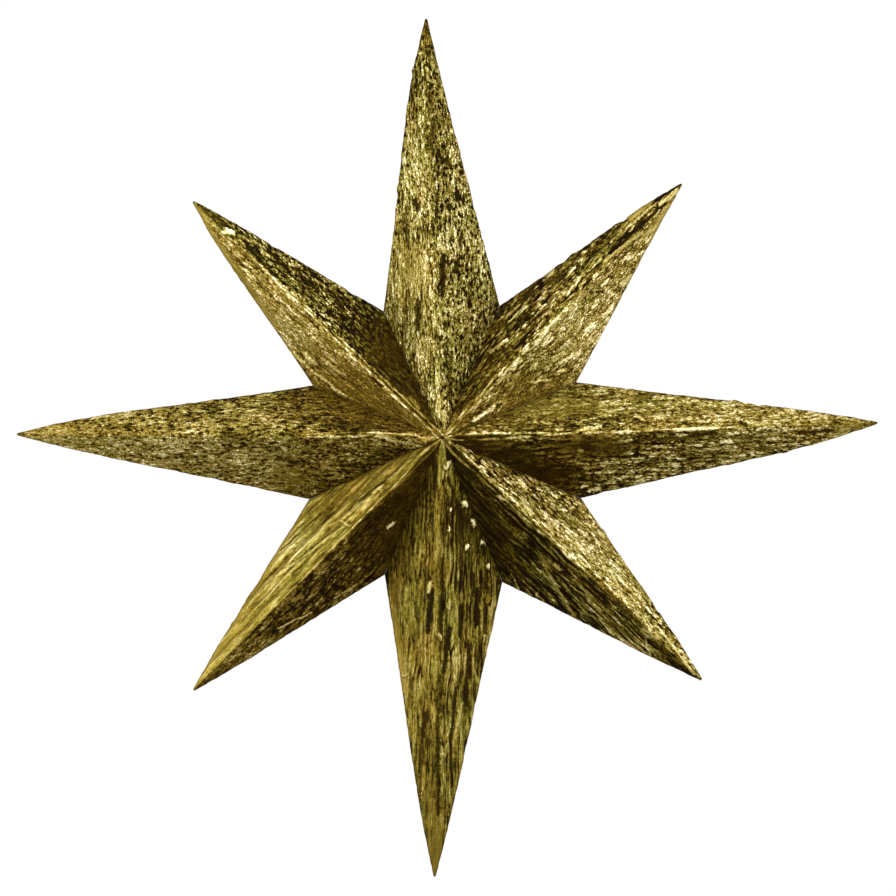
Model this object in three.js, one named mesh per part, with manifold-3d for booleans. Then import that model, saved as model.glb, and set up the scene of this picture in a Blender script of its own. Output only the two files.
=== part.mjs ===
// An eight-pointed wall star, folded from crinkled gold card, with a board, a ring hanger and felt pads.
//
// The star is modelled lying on its back, as on a bench: x to the right, y to the top ray, z up to the
// viewer, with z = 0 on the wall. The last lines stand it up, so that the part faces -Y with +Z up.
//
// Every layer of the star (card, glue tabs, centre patch, hems, board) is the same star drawn in towards
// its middle. That moves each straight edge and each facet inward, parallel to itself, by nearly the same
// distance.
import * as THREE from "three";
import { mergeVertices } from "three/addons/utils/BufferGeometryUtils.js";
import Module from "manifold-3d";

// Star, in millimetres and degrees
const LONG_REACH = 150.5; // centre to tip of an upright or level ray
const SHORT_REACH = 122.5; // centre to tip of a diagonal ray
const NOTCH_REACH = 51.1; // centre to the inner corner between two rays
const APEX_RISE = 30; // how far the crests' meeting point stands over the hems
const TIP_WIDTH = 1.2; // the blunt end of a folded tip
const SWELL_SKEW = 2; // over 1, an edge swells most past its middle, towards the tip
const CREST_WIDTH = 1; // the flat worn along a fold crest

// Each ray in turn, anticlockwise from the right, with what folding by hand did to an even star:
// the ray's lean in degrees, its extra length, how far its two edges swell out of their straight lines,
// and the lean and extra length of the notch that follows it.
const RAYS = [
  { name: "right", even: LONG_REACH, lean: 2, extra: 1.9, swells: [1.6, 0.7], notch: [0.1, -0.5] },
  { name: "upper_right", even: SHORT_REACH, lean: 1.7, extra: -0.4, swells: [-0.3, 0.9], notch: [-1, -0.8] },
  { name: "top", even: LONG_REACH, lean: 2.2, extra: -3.7, swells: [-0.4, 1.9], notch: [2.4, -2.3] },
  { name: "upper_left", even: SHORT_REACH, lean: 1.5, extra: -2.3, swells: [0.5, 1.1], notch: [0.4, -2.4] },
  { name: "left", even: LONG_REACH, lean: -0.5, extra: -1.6, swells: [1.5, 0.7], notch: [2.2, 0] },
  { name: "lower_left", even: SHORT_REACH, lean: 0.4, extra: 1.4, swells: [0.5, 0.4], notch: [-0.4, 0.7] },
  { name: "bottom", even: LONG_REACH, lean: -1, extra: 3, swells: [0.9, 0.5], notch: [0.2, 3.3] },
  { name: "lower_right", even: SHORT_REACH, lean: 2, extra: 1.6, swells: [0.4, 0.6], notch: [-1, 1.7] },
];

// Card
const SHEET = 0.8; // foil and card together
const HEM_WIDTH = 7; // the margin folded in behind each outer edge
const TAB_WIDTH = 7; // the glue tab under the next ray's facet
const TAB_FOLD = 1.2; // the strip beside a valley where the sheet steps down under its neighbour
const TAB_END_ROOM = 2; // between a glue tab and the hem
const PATCH_RADIUS = 12; // the pleated cap under the crests' meeting point
const PATCH_ROOM = 1; // between the cap and the glue tabs

// Board and pads
const BOARD_THICKNESS = 2;
const BOARD_INSET = 1.5; // the board's edge lies this far inside the folded edge
const PAD_THICKNESS = 4;
const PAD_RADIUS = 6.5;
const PAD_REACH = 60; // centre of the star to the centre of a pad

// Hanger
const PIVOT_REACH = 60; // the ring's pivot over the star's centre
const PLATE_THICKNESS = 0.8;
const PLATE_WIDTH = 9;
const RIVET_DROP = 7; // from the ring's pivot down to the rivet
const WIRE_RADIUS = 0.8;
const BAR_ROOM = 0.9; // straight wire left on each side of the knuckle
const RING_BEND = 2.4; // radius from the pivot bar to the ring's sides
const EYE_ROOM = 7.2; // clear opening between the plate's nose and the end of the ring
const KNUCKLE_WRAP = 280; // degrees of strip rolled round the pivot bar
const RIVET_SHANK = 1.5; // radii and heights of the tubular rivet
const RIVET_BORE = 0.8;
const RIVET_HEAD = 2.8;
const RIVET_HEAD_HEIGHT = 0.9;
// Two points on the head's dome, as shares of its radius and of its height
const RIVET_DOME = [
  { out: 0.55, down: 0.15 },
  { out: 0.88, down: 0.5 },
];
const RIVET_CLINCH = 2.4;
const RIVET_CLINCH_HEIGHT = 0.7;
const WASHER_RADIUS = 4;
const WASHER_THICKNESS = 0.6;

// Clearances
const SEAM = 0.3; // between two pieces that touch or are glued
const PIVOT_PLAY = 0.3; // between the ring's wire and the knuckle round it

// Steps along curves
const EDGE_STEPS = 10;
const ROUND_STEPS = 32;
const RING_STEPS = 72;
const WIRE_SIDES = 10;

// Levels above the wall, from the back of the pads to the front of the hems
const BOARD_BACK = PAD_THICKNESS + SEAM;
const BOARD_FRONT = BOARD_BACK + BOARD_THICKNESS;
const HEM_BACK = BOARD_FRONT + SEAM;
const HEM_FRONT = HEM_BACK + SHEET;
const PLATE_FRONT = BOARD_BACK - SEAM;
const PLATE_BACK = PLATE_FRONT - PLATE_THICKNESS;
const KNUCKLE_BORE = WIRE_RADIUS + PIVOT_PLAY;
const KNUCKLE_RADIUS = KNUCKLE_BORE + PLATE_THICKNESS;
const PIVOT_LEVEL = PLATE_FRONT - KNUCKLE_RADIUS;
const WASHER_BACK = BOARD_FRONT + SEAM;
const WASHER_FRONT = WASHER_BACK + WASHER_THICKNESS;
const FAR = 2 * (LONG_REACH + APEX_RISE); // farther than any point of the star

const wasm = await Module();
wasm.setup();

// Plan points

const rad = THREE.MathUtils.degToRad;
const plan = (x, y) => new THREE.Vector2(x, y);
const onCircle = (radius, degrees) => plan(radius * Math.cos(rad(degrees)), radius * Math.sin(rad(degrees)));

const RAY_STEP = 360 / RAYS.length;
const previous = (k) => (k + RAYS.length - 1) % RAYS.length;
const rayAngle = (k) => k * RAY_STEP + RAYS[k].lean;
const notchAngle = (k) => (k + 0.5) * RAY_STEP + RAYS[k].notch[0];
const notchReach = (k) => NOTCH_REACH + RAYS[k].notch[1];

const tips = RAYS.map((ray, k) => onCircle(ray.even + ray.extra, rayAngle(k)));
const notches = RAYS.map((_, k) => onCircle(notchReach(k), notchAngle(k)));

// How far the straight line through two plan points passes from the star's centre
const missBy = (a, b) => Math.abs(a.cross(b)) / a.distanceTo(b);
const edgeMisses = tips.flatMap((tip, k) => [missBy(notches[previous(k)], tip), missBy(tip, notches[k])]);
const EDGE_MISS = edgeMisses.reduce((sum, miss) => sum + miss) / edgeMisses.length;
const FACET_SLOPE = Math.atan(APEX_RISE / EDGE_MISS);
const FACET_MISS = EDGE_MISS * Math.sin(FACET_SLOPE); // the same from a facet's plane, at hem level

// The share of its size to which the star is drawn in, for an inset in plan or a depth behind the facets
const drawnIn = (inset) => 1 - inset / EDGE_MISS;
const atDepth = (depth) => 1 - depth / FACET_MISS;

// One outer edge from notch to tip, swelling to one side, without its first point
function bowedEdge(notch, tip, swell) {
  const along = tip.clone().sub(notch);
  const aside = plan(along.y, -along.x).normalize();
  return Array.from({ length: EDGE_STEPS }, (_, step) => {
    const share = (step + 1) / EDGE_STEPS;
    const offset = swell * Math.sin(Math.PI * share ** SWELL_SKEW);
    return notch.clone().addScaledVector(along, share).addScaledVector(aside, offset);
  });
}

// The star in plan, anticlockwise from the notch before the right ray
const OUTLINE = tips.flatMap((tip, k) => {
  const halfTip = onCircle(TIP_WIDTH / 2, rayAngle(k) + 90);
  const [before, after] = RAYS[k].swells;
  const out = bowedEdge(notches[previous(k)], tip.clone().sub(halfTip), before);
  const back = bowedEdge(notches[k], tip.clone().add(halfTip), -after);
  return [notches[previous(k)], ...out, ...back.reverse()];
});

// Solids

function solidOf(geometry) {
  const bare = new THREE.BufferGeometry();
  bare.setAttribute("position", geometry.getAttribute("position"));
  bare.setIndex(geometry.index);
  const merged = mergeVertices(bare);
  const triVerts = new Uint32Array(merged.index.array);
  const vertProperties = merged.getAttribute("position").array;
  return new wasm.Manifold(new wasm.Mesh({ numProp: 3, vertProperties, triVerts }));
}

function geometryOf(solid) {
  const mesh = solid.getMesh();
  const geometry = new THREE.BufferGeometry();
  geometry.setAttribute("position", new THREE.BufferAttribute(mesh.vertProperties, 3));
  geometry.setIndex(new THREE.BufferAttribute(mesh.triVerts, 1));
  geometry.computeVertexNormals();
  return geometry;
}

// An outline in plan, pulled up from one level to another
function prism(outline, from, to) {
  const shape = new THREE.Shape(outline);
  const geometry = new THREE.ExtrudeGeometry(shape, { depth: to - from, bevelEnabled: false });
  return solidOf(geometry.translate(0, 0, from));
}

// The whole star's outline, drawn in to a share and pulled up
function starPrism(share, from, to) {
  const outline = OUTLINE.map((point) => point.clone().multiplyScalar(share));
  return prism(outline, from, to);
}

// The pleated peak over the star's outline, drawn in to a share. The outline is repeated at each of the
// levels, the last being the front of the hems, and is closed by the peak above and a flat below.
function starPeak(share, levels) {
  const count = OUTLINE.length;
  const rims = levels.flatMap((level) => OUTLINE.flatMap((p) => [p.x * share, p.y * share, level]));
  const positions = [...rims, 0, 0, levels[0], 0, 0, HEM_FRONT + APEX_RISE * share];
  const bottom = levels.length * count;
  const peak = bottom + 1;
  const topRim = bottom - count;
  const faces = OUTLINE.flatMap((_, a) => {
    const b = (a + 1) % count;
    const walls = levels.slice(1).flatMap((_, row) => {
      const [low, high] = [row * count, (row + 1) * count];
      return [low + a, low + b, high + b, low + a, high + b, high + a];
    });
    return [bottom, b, a, ...walls, peak, topRim + a, topRim + b];
  });
  const geometry = new THREE.BufferGeometry();
  geometry.setAttribute("position", new THREE.Float32BufferAttribute(positions, 3));
  geometry.setIndex(faces);
  return solidOf(geometry);
}

// A sheet of the star's own form, its front at a depth behind the facets, without hems
function innerSheet(depth, thickness) {
  const front = starPeak(atDepth(depth), [HEM_FRONT]);
  const back = starPeak(atDepth(depth + thickness), [HEM_BACK, HEM_FRONT]);
  return front.subtract(back);
}

// A disc or round hole in plan
function disc(centre, radius, from, to) {
  const geometry = new THREE.CylinderGeometry(radius, radius, to - from, ROUND_STEPS);
  geometry.rotateX(Math.PI / 2);
  return solidOf(geometry.translate(centre.x, centre.y, (from + to) / 2));
}

// The folded rays: the feature that takes the most skill

// All eight rays as one folded skin: facets and hems, open behind between the hems
const WHOLE_SKIN = starPeak(1, [HEM_BACK, HEM_FRONT])
  .subtract(starPeak(atDepth(SHEET), [HEM_FRONT]))
  .subtract(starPrism(drawnIn(HEM_WIDTH), 0, HEM_FRONT + SHEET));
// The layer that the glue tabs and the centre patch share, just behind the facets
const UNDER_DEPTH = SHEET + SEAM;
const UNDER_SHEET = innerSheet(UNDER_DEPTH, SHEET);
const FOLD_LAYERS = innerSheet(0, UNDER_DEPTH + SHEET);

// The space between the valleys on the two sides of a ray, less half a seam on each
function raySector(k) {
  const start = notchAngle(previous(k)) - (k === 0 ? 360 : 0);
  const end = notchAngle(k);
  const middle = (start + end) / 2;
  const corner = onCircle(SEAM / 2 / Math.sin(rad(end - start) / 2), middle);
  const reached = [start, middle, end].map((degrees) => corner.clone().add(onCircle(FAR, degrees)));
  return prism([corner, ...reached], 0, FAR);
}

// The space under a ray's worn crest, which is its side view drawn square across it
function underCrest(k) {
  const reach = tips[k].length();
  const worn = (CREST_WIDTH / 2) * Math.tan(FACET_SLOPE);
  const peakLevel = HEM_FRONT + APEX_RISE - worn;
  const side = new THREE.Shape([
    plan(-CREST_WIDTH, 0),
    plan(reach + CREST_WIDTH, 0),
    plan(reach + CREST_WIDTH, HEM_FRONT),
    plan(reach, HEM_FRONT),
    plan(0, peakLevel),
    plan(-CREST_WIDTH, peakLevel),
  ]);
  const geometry = new THREE.ExtrudeGeometry(side, { depth: FAR, bevelEnabled: false });
  geometry.translate(0, 0, -FAR / 2).rotateX(Math.PI / 2);
  return solidOf(geometry.rotateZ(rad(rayAngle(k))));
}

// A strip beside the valley that follows a ray, its corners given as distances out along the valley and,
// positive towards the next ray, aside from it
function valleyStrip(k, corners) {
  const along = onCircle(1, notchAngle(k));
  const aside = onCircle(1, notchAngle(k) + 90);
  return prism(
    corners.map(([run, side]) => plan(0, 0).addScaledVector(along, run).addScaledVector(aside, side)),
    0,
    FAR,
  );
}

// The tapered tab that lies glued under the next ray's facet, with the fold that steps down to it
function glueTab(k) {
  const start = PATCH_RADIUS + PATCH_ROOM;
  const end = notchReach(k) * atDepth(UNDER_DEPTH + SHEET) - TAB_END_ROOM;
  const tab = UNDER_SHEET.intersect(
    valleyStrip(k, [
      [start, -TAB_FOLD],
      [end, -TAB_FOLD],
      [end, 0],
      [end - TAB_WIDTH, TAB_WIDTH],
      [start + TAB_WIDTH, TAB_WIDTH],
      [start, 0],
    ]),
  );
  const fold = FOLD_LAYERS.intersect(
    valleyStrip(k, [
      [start, -TAB_FOLD],
      [end, -TAB_FOLD],
      [end, -SEAM / 2],
      [start, -SEAM / 2],
    ]),
  );
  return tab.add(fold);
}

const ray = (k) => WHOLE_SKIN.intersect(raySector(k)).intersect(underCrest(k)).add(glueTab(k));

// The pieces behind the rays

const centrePatch = () => UNDER_SHEET.intersect(disc(plan(0, 0), PATCH_RADIUS, 0, FAR));

const RIVET_CENTRE = plan(0, PIVOT_REACH - RIVET_DROP);
const rivetHole = () => disc(RIVET_CENTRE, RIVET_SHANK + SEAM, 0, FAR);

const backBoard = () => starPrism(drawnIn(BOARD_INSET), BOARD_BACK, BOARD_FRONT).subtract(rivetHole());

const wallPad = (k) => disc(onCircle(PAD_REACH, rayAngle(k)), PAD_RADIUS, 0, PAD_THICKNESS);

// The strip as seen from its side, rolled into the knuckle, and cut to a round nose about the rivet
function hangerPlate() {
  const length = RIVET_DROP + PLATE_WIDTH / 2;
  const rollEnd = rad(90 - KNUCKLE_WRAP);
  const side = new THREE.Shape();
  side.moveTo(-length, KNUCKLE_RADIUS);
  side.lineTo(0, KNUCKLE_RADIUS);
  side.absarc(0, 0, KNUCKLE_RADIUS, Math.PI / 2, rollEnd, true);
  side.absarc(0, 0, KNUCKLE_BORE, rollEnd, Math.PI / 2, false);
  side.lineTo(-length, KNUCKLE_BORE);
  side.closePath();
  const curveSegments = ROUND_STEPS / 2;
  const strip = new THREE.ExtrudeGeometry(side, { depth: PLATE_WIDTH, bevelEnabled: false, curveSegments });
  strip.translate(0, 0, -PLATE_WIDTH / 2);
  const [x, y, z] = [[1, 0, 0], [0, 1, 0], [0, 0, 1]].map((axis) => new THREE.Vector3(...axis));
  strip.applyMatrix4(new THREE.Matrix4().makeBasis(y, z, x));
  strip.translate(0, PIVOT_REACH, PIVOT_LEVEL);
  const halfWidth = PLATE_WIDTH / 2;
  const top = PIVOT_REACH + 2 * KNUCKLE_RADIUS;
  const nose = new THREE.Path();
  nose.absarc(RIVET_CENTRE.x, RIVET_CENTRE.y, halfWidth, Math.PI, 2 * Math.PI, false);
  const outline = [...nose.getPoints(ROUND_STEPS / 2), plan(halfWidth, top), plan(-halfWidth, top)];
  return solidOf(strip).intersect(prism(outline, 0, BOARD_BACK)).subtract(rivetHole());
}

// The bent wire's middle line, hanging from the pivot: a straight bar, two bends and a long round end
class RingLine extends THREE.Curve {
  constructor() {
    super();
    const halfBar = PLATE_WIDTH / 2 + BAR_ROOM;
    const halfWidth = halfBar + RING_BEND;
    const reach = RIVET_DROP + PLATE_WIDTH / 2 + EYE_ROOM + WIRE_RADIUS;
    const end = PIVOT_REACH - RING_BEND;
    this.line = new THREE.Path();
    this.line.moveTo(0, PIVOT_REACH);
    this.line.lineTo(-halfBar, PIVOT_REACH);
    this.line.absarc(-halfBar, end, RING_BEND, Math.PI / 2, Math.PI, false);
    this.line.absellipse(0, end, halfWidth, reach - RING_BEND, Math.PI, 2 * Math.PI, false);
    this.line.absarc(halfBar, end, RING_BEND, 0, Math.PI / 2, false);
    this.line.lineTo(0, PIVOT_REACH);
  }
  getPoint(share) {
    const { x, y } = this.line.getPoint(share);
    return new THREE.Vector3(x, y, PIVOT_LEVEL);
  }
}

function hangerRing() {
  return solidOf(new THREE.TubeGeometry(new RingLine(), RING_STEPS, WIRE_RADIUS, WIRE_SIDES, true));
}

// A tubular rivet: domed head behind the plate, clinched and hollow in front of the washer
function hangerRivet() {
  const headFront = PLATE_BACK - SEAM;
  const headBack = headFront - RIVET_HEAD_HEIGHT;
  const clinchBack = WASHER_FRONT + SEAM;
  const clinchFront = clinchBack + RIVET_CLINCH_HEIGHT;
  const profile = [
    plan(0, headBack),
    ...RIVET_DOME.map(({ out, down }) => plan(RIVET_HEAD * out, headBack + RIVET_HEAD_HEIGHT * down)),
    plan(RIVET_HEAD, headFront),
    plan(RIVET_SHANK, headFront),
    plan(RIVET_SHANK, clinchBack),
    plan(RIVET_CLINCH, clinchBack),
    plan(RIVET_CLINCH, clinchBack + RIVET_CLINCH_HEIGHT / 2),
    plan((RIVET_CLINCH + RIVET_BORE) / 2, clinchFront),
    plan(RIVET_BORE, clinchBack + RIVET_CLINCH_HEIGHT / 2),
    plan(RIVET_BORE, BOARD_BACK),
    plan(0, BOARD_BACK),
  ];
  const geometry = new THREE.LatheGeometry(profile, ROUND_STEPS);
  geometry.rotateX(Math.PI / 2);
  return solidOf(geometry.translate(RIVET_CENTRE.x, RIVET_CENTRE.y, 0));
}

const rivetWasher = () => disc(RIVET_CENTRE, WASHER_RADIUS, WASHER_BACK, WASHER_FRONT).subtract(rivetHole());

// Finishes
const finishes = {
  gold: { color: "#8f7c3d", roughness: 0.45, metalness: 0.8 },
  card: { color: "#8c7355", roughness: 0.9, metalness: 0 },
  steel: { color: "#b9b39f", roughness: 0.35, metalness: 1 },
  felt: { color: "#3c3732", roughness: 1, metalness: 0 },
};

const star = new THREE.Group();

function addPiece(name, solid, finish) {
  const piece = new THREE.Mesh(geometryOf(solid), new THREE.MeshStandardMaterial(finishes[finish]));
  piece.name = name;
  star.add(piece);
}

RAYS.forEach(({ name, even }, k) => {
  addPiece(`ray_${name}`, ray(k), "gold");
  if (even === SHORT_REACH) addPiece(`pad_${name}`, wallPad(k), "felt");
});
addPiece("centre_patch", centrePatch(), "card");
addPiece("back_board", backBoard(), "card");
addPiece("hanger_plate", hangerPlate(), "steel");
addPiece("hanger_ring", hangerRing(), "steel");
addPiece("hanger_rivet", hangerRivet(), "steel");
addPiece("rivet_washer", rivetWasher(), "steel");

// Stood up against the wall
star.rotation.x = Math.PI / 2;

export default star;
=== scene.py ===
"""The looks of an eight-pointed wall star, folded from crinkled gold card, on its packed CAD frame.

The star is worked out lying on its back, as in the part's own source: x to the right, y to the top ray,
z up to the viewer with the wall at 0, in millimetres. stood_up() turns that into the frame's metres.
"""

import math
from types import SimpleNamespace

import bpy
import numpy as np
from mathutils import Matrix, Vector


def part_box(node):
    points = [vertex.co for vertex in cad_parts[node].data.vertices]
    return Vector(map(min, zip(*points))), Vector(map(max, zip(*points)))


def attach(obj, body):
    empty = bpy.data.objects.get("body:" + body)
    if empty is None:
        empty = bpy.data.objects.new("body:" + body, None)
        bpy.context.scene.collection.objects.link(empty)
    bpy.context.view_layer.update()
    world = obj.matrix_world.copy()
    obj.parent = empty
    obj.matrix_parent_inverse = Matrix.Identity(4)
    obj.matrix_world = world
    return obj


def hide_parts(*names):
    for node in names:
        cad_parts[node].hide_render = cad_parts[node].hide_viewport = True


bl_info = {
    "name": "Crinkled Gold Star",
    "version": (1, 0, 0),
    "blender": (4, 5, 0),
    "location": "3D View > Sidebar > Star",
    "description": "Dresses an eight-pointed wall star in crinkled gold card, board, felt and plated steel",
    "category": "Object",
}

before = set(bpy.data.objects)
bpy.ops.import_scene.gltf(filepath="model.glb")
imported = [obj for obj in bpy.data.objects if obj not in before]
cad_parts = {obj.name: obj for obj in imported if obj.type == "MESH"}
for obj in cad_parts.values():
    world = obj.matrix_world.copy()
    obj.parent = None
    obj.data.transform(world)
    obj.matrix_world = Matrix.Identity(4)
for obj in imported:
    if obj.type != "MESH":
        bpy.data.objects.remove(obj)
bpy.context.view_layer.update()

# The folded star, in millimetres and degrees, as the part's source has it
APEX_RISE = 30.0
HEM_BACK = 6.6
HEM_FRONT = 7.4
HEM_WIDTH = 7.0
NOTCH_REACH = 51.1
SWELL_SKEW = 2
RAY_STEP = 45
SHEET_DROP = 1.13  # the 0.8 mm sheet, measured straight down through a facet
BOARD_BACK = 4.3
BOARD_THICKNESS = 2
BOARD_INSET = 1.5
BOARD_MISS = 29.33  # mean distance from the centre to the lines between notches and tips
PAD_RADIUS = 6.5
PAD_THICKNESS = 4.0
PIVOT_REACH = 60.0
PIVOT_LEVEL = 2.1
PLATE_WIDTH = 9.0
PLATE_THICKNESS = 0.8
PLATE_BACK = 3.2
KNUCKLE_BORE = 1.1
KNUCKLE_WRAP = 280
WIRE_RADIUS = 0.8
RING_HALF_BAR = 5.4
RING_BEND = 2.4
RING_DROP = 19.5
RIVET_DROP = 7.0

# What only the dressed star has, in millimetres: softened arrises, fine ends and the least gaps between pieces
TIP_HALF_WIDTH = 0.25
PEAK_START = 0.45  # from the star's middle to a ray's first row
CREST_ROUNDING = 0.45
VALLEY_GAP = 0.01
SEAM = 0.3
FACET_STRETCH = 1.41  # a length across a facet of 45 degrees for each one across the plan
PAD_LIP = 0.7
BOARD_ARRIS = 0.25
PLATE_ARRIS = 0.22
NOTCH_END = (52, 62)  # where along a ray the notches are surely passed

# Where the random numbers of each kind of surface start
FOIL_SEED = 100
MARK_SEED = 30
CREST_SEED = 700
BEND_SEED = 800
EDGE_SEED = 900
PAD_SEED = 3000
BOARD_SEED = 41

# Each ray anticlockwise from the right: its reach, its lean, how far its clockwise and anticlockwise edges
# swell, and the lean and extra reach of the notch after it
RAYS = {
    "right": (152.4, 2.0, (1.6, 0.7), (0.1, -0.5)),
    "upper_right": (122.1, 1.7, (-0.3, 0.9), (-1.0, -0.8)),
    "top": (146.8, 2.2, (-0.4, 1.9), (2.4, -2.3)),
    "upper_left": (120.2, 1.5, (0.5, 1.1), (0.4, -2.4)),
    "left": (148.9, -0.5, (1.5, 0.7), (2.2, 0.0)),
    "lower_left": (123.9, 0.4, (0.5, 0.4), (-0.4, 0.7)),
    "bottom": (153.5, -1.0, (0.9, 0.5), (0.2, 3.3)),
    "lower_right": (124.1, 2.0, (0.4, 0.6), (-1.0, 1.7)),
}
NAMES = list(RAYS)

# How much of each surface character each facet has, clockwise facet first: bark of rounded grains between
# cracks, long fibres, wide soft folds, dark pits, dark slits, pale flakes, fine grain, how dark it is at its
# root, middle and tip, which is partly patina and partly painted light and shade (darker in the grooves and on
# facets turned from the lamps), how wide the painted shade along the valley is, its tone and how still it is,
# amber rather than green leaf, and overall calmness
CHARACTERS = (
    "bark", "fibre", "folds", "pits", "slits", "flakes", "grain",
    "root", "middle", "tip", "valley_shade", "sunk", "still", "amber", "calm",
)
# The root, middle and tip darkness, partly patina and partly painted light and shade
DARKNESS = slice(CHARACTERS.index("root"), CHARACTERS.index("tip") + 1)
LOOKS = {
    "right": (
        (0.6, 0.7, 0.4, 0.4, 0.2, 0.6, 0.7, 0.4, 0.12, -0.1, 1.3, 0.15, 1.0, 0.3, 0.15),
        (0.5, 0.5, 0.5, 0.4, 0.1, 0.5, 0.9, 0.29, 0.0, -0.1, 0.8, 0.36, 0.5, 0.3, 0.4),
    ),
    "upper_right": (
        (0.5, 0.4, 0.3, 0.2, 0.1, 0.8, 0.7, 0.08, -0.19, 0.08, 1.0, 0.42, 0.6, 0.4, 0.25),
        (0.6, 0.5, 1.1, 0.4, 0.8, 0.6, 0.9, 0.31, 0.18, 0.19, 1.3, 0.28, 0.6, 0.15, 0.35),
    ),
    "top": (
        (0.5, 0.2, 0.6, 0.9, 0.2, 0.3, 0.95, 0, -0.14, 0, 0.2, 0.48, 0.1, -0.5, 0.05),
        (0.35, 0.65, 0.6, 0.5, 0.4, 0.2, 0.85, -0.04, -0.05, 0.08, 0.2, 0.44, 0.1, -0.3, 0.15),
    ),
    "upper_left": (
        (0.9, 0.5, 0.3, 0.8, 0.3, 0.3, 1.0, 0.21, 0.23, -0.06, 1.5, 0.24, 1.0, -0.6, 0.2),
        (0.5, 0.4, 0.5, 0.2, 0.1, 0.5, 0.8, -0.03, -0.07, -0.09, 0.9, 0.44, 0.8, 0.6, 0.5),
    ),
    "left": (
        (0.3, 0.4, 0.4, 0.65, 0.1, 0.35, 0.9, 0.21, 0.03, -0.09, 0.9, 0.37, 0.7, 0.55, 0.35),
        (0.4, 0.4, 0.4, 0.6, 0.1, 0.35, 0.9, 0.04, -0.05, -0.21, 0.6, 0.27, 0.3, 0.3, 0.3),
    ),
    "lower_left": (
        (0.1, 0.5, 1.5, 0.1, 0.1, 0.2, 0.6, 0.06, 0.03, 0.07, 0.3, 0.41, 0.3, 0, 0.78),
        (0.4, 0.6, 0.3, 0.3, 0.2, 0.3, 0.7, 0.23, 0.33, 0.13, 1.5, 0.24, 1.0, 1.4, 0.5),
    ),
    "bottom": (
        (0.1, 0.6, 0.8, 0.2, 0.3, 0.1, 0.6, 0.24, 0.04, 0.21, 0.6, 0.23, 0.2, -0.1, 0.72),
        (0.1, 0.8, 0.7, 0.1, 0.55, 0.2, 0.6, 0.4, 0.16, 0.22, 1.0, 0.15, 0.1, -0.2, 0.66),
    ),
    "lower_right": (
        (0.1, 1.2, 0.9, 0.0, 0.9, 0.1, 0.6, 0.49, 0.61, 0.1, 1.3, 0.13, 0.8, -0.5, 0.35),
        (0.7, 0.8, 0.4, 0.3, 0.1, 0.6, 0.7, 0.25, -0.08, 0.01, 0.3, 0.36, 0.2, 0.4, 0.3),
    ),
}

# How the crest of each ray is worn: its strength, where along the ray it ends, half the space between its two
# pale lines at the centre, where the two have met, how thick the lines are, and how far they break up
CRESTS = {
    "right": (0.9, 102, 1.1, 44, 0.42, 0.25),
    "upper_right": (0.75, 66, 0.7, 60, 1.1, 0.35),
    "top": (0.42, 54, 1.0, 56, 1.9, 0.7),
    "upper_left": (0.72, 98, 1.0, 84, 0.5, 0.0),
    "left": (0.75, 50, 1.1, 34, 0.55, 0.3),
    "lower_left": (0.55, 84, 1.0, 26, 0.45, 0.4),
    "bottom": (0.35, 22, 1.0, 24, 0.5, 0.5),
    "lower_right": (0.75, 80, 1.4, 66, 0.5, 0.25),
}

# Crests that the folding pushed aside: where along the ray, by how much, and over what length
PUSHED = {"left": ((5.5, 2.2, 5.0), (24, -1.0, 16))}

# The photograph, which the marks were noted on: its middle pixel, a pixel's size at the hems, and how far
# in front of the wall and how far aside of the peak its camera stands
PICTURE_MIDDLE = 448
PIXEL = 0.35
CAMERA_REACH = 1200
CAMERA_ASIDE = (2.0, -3.5)
SLIT_WIDTH, GLINT_WIDTH = 0.72, 0.85  # of the width noted for a mark, which takes in its blur
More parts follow.
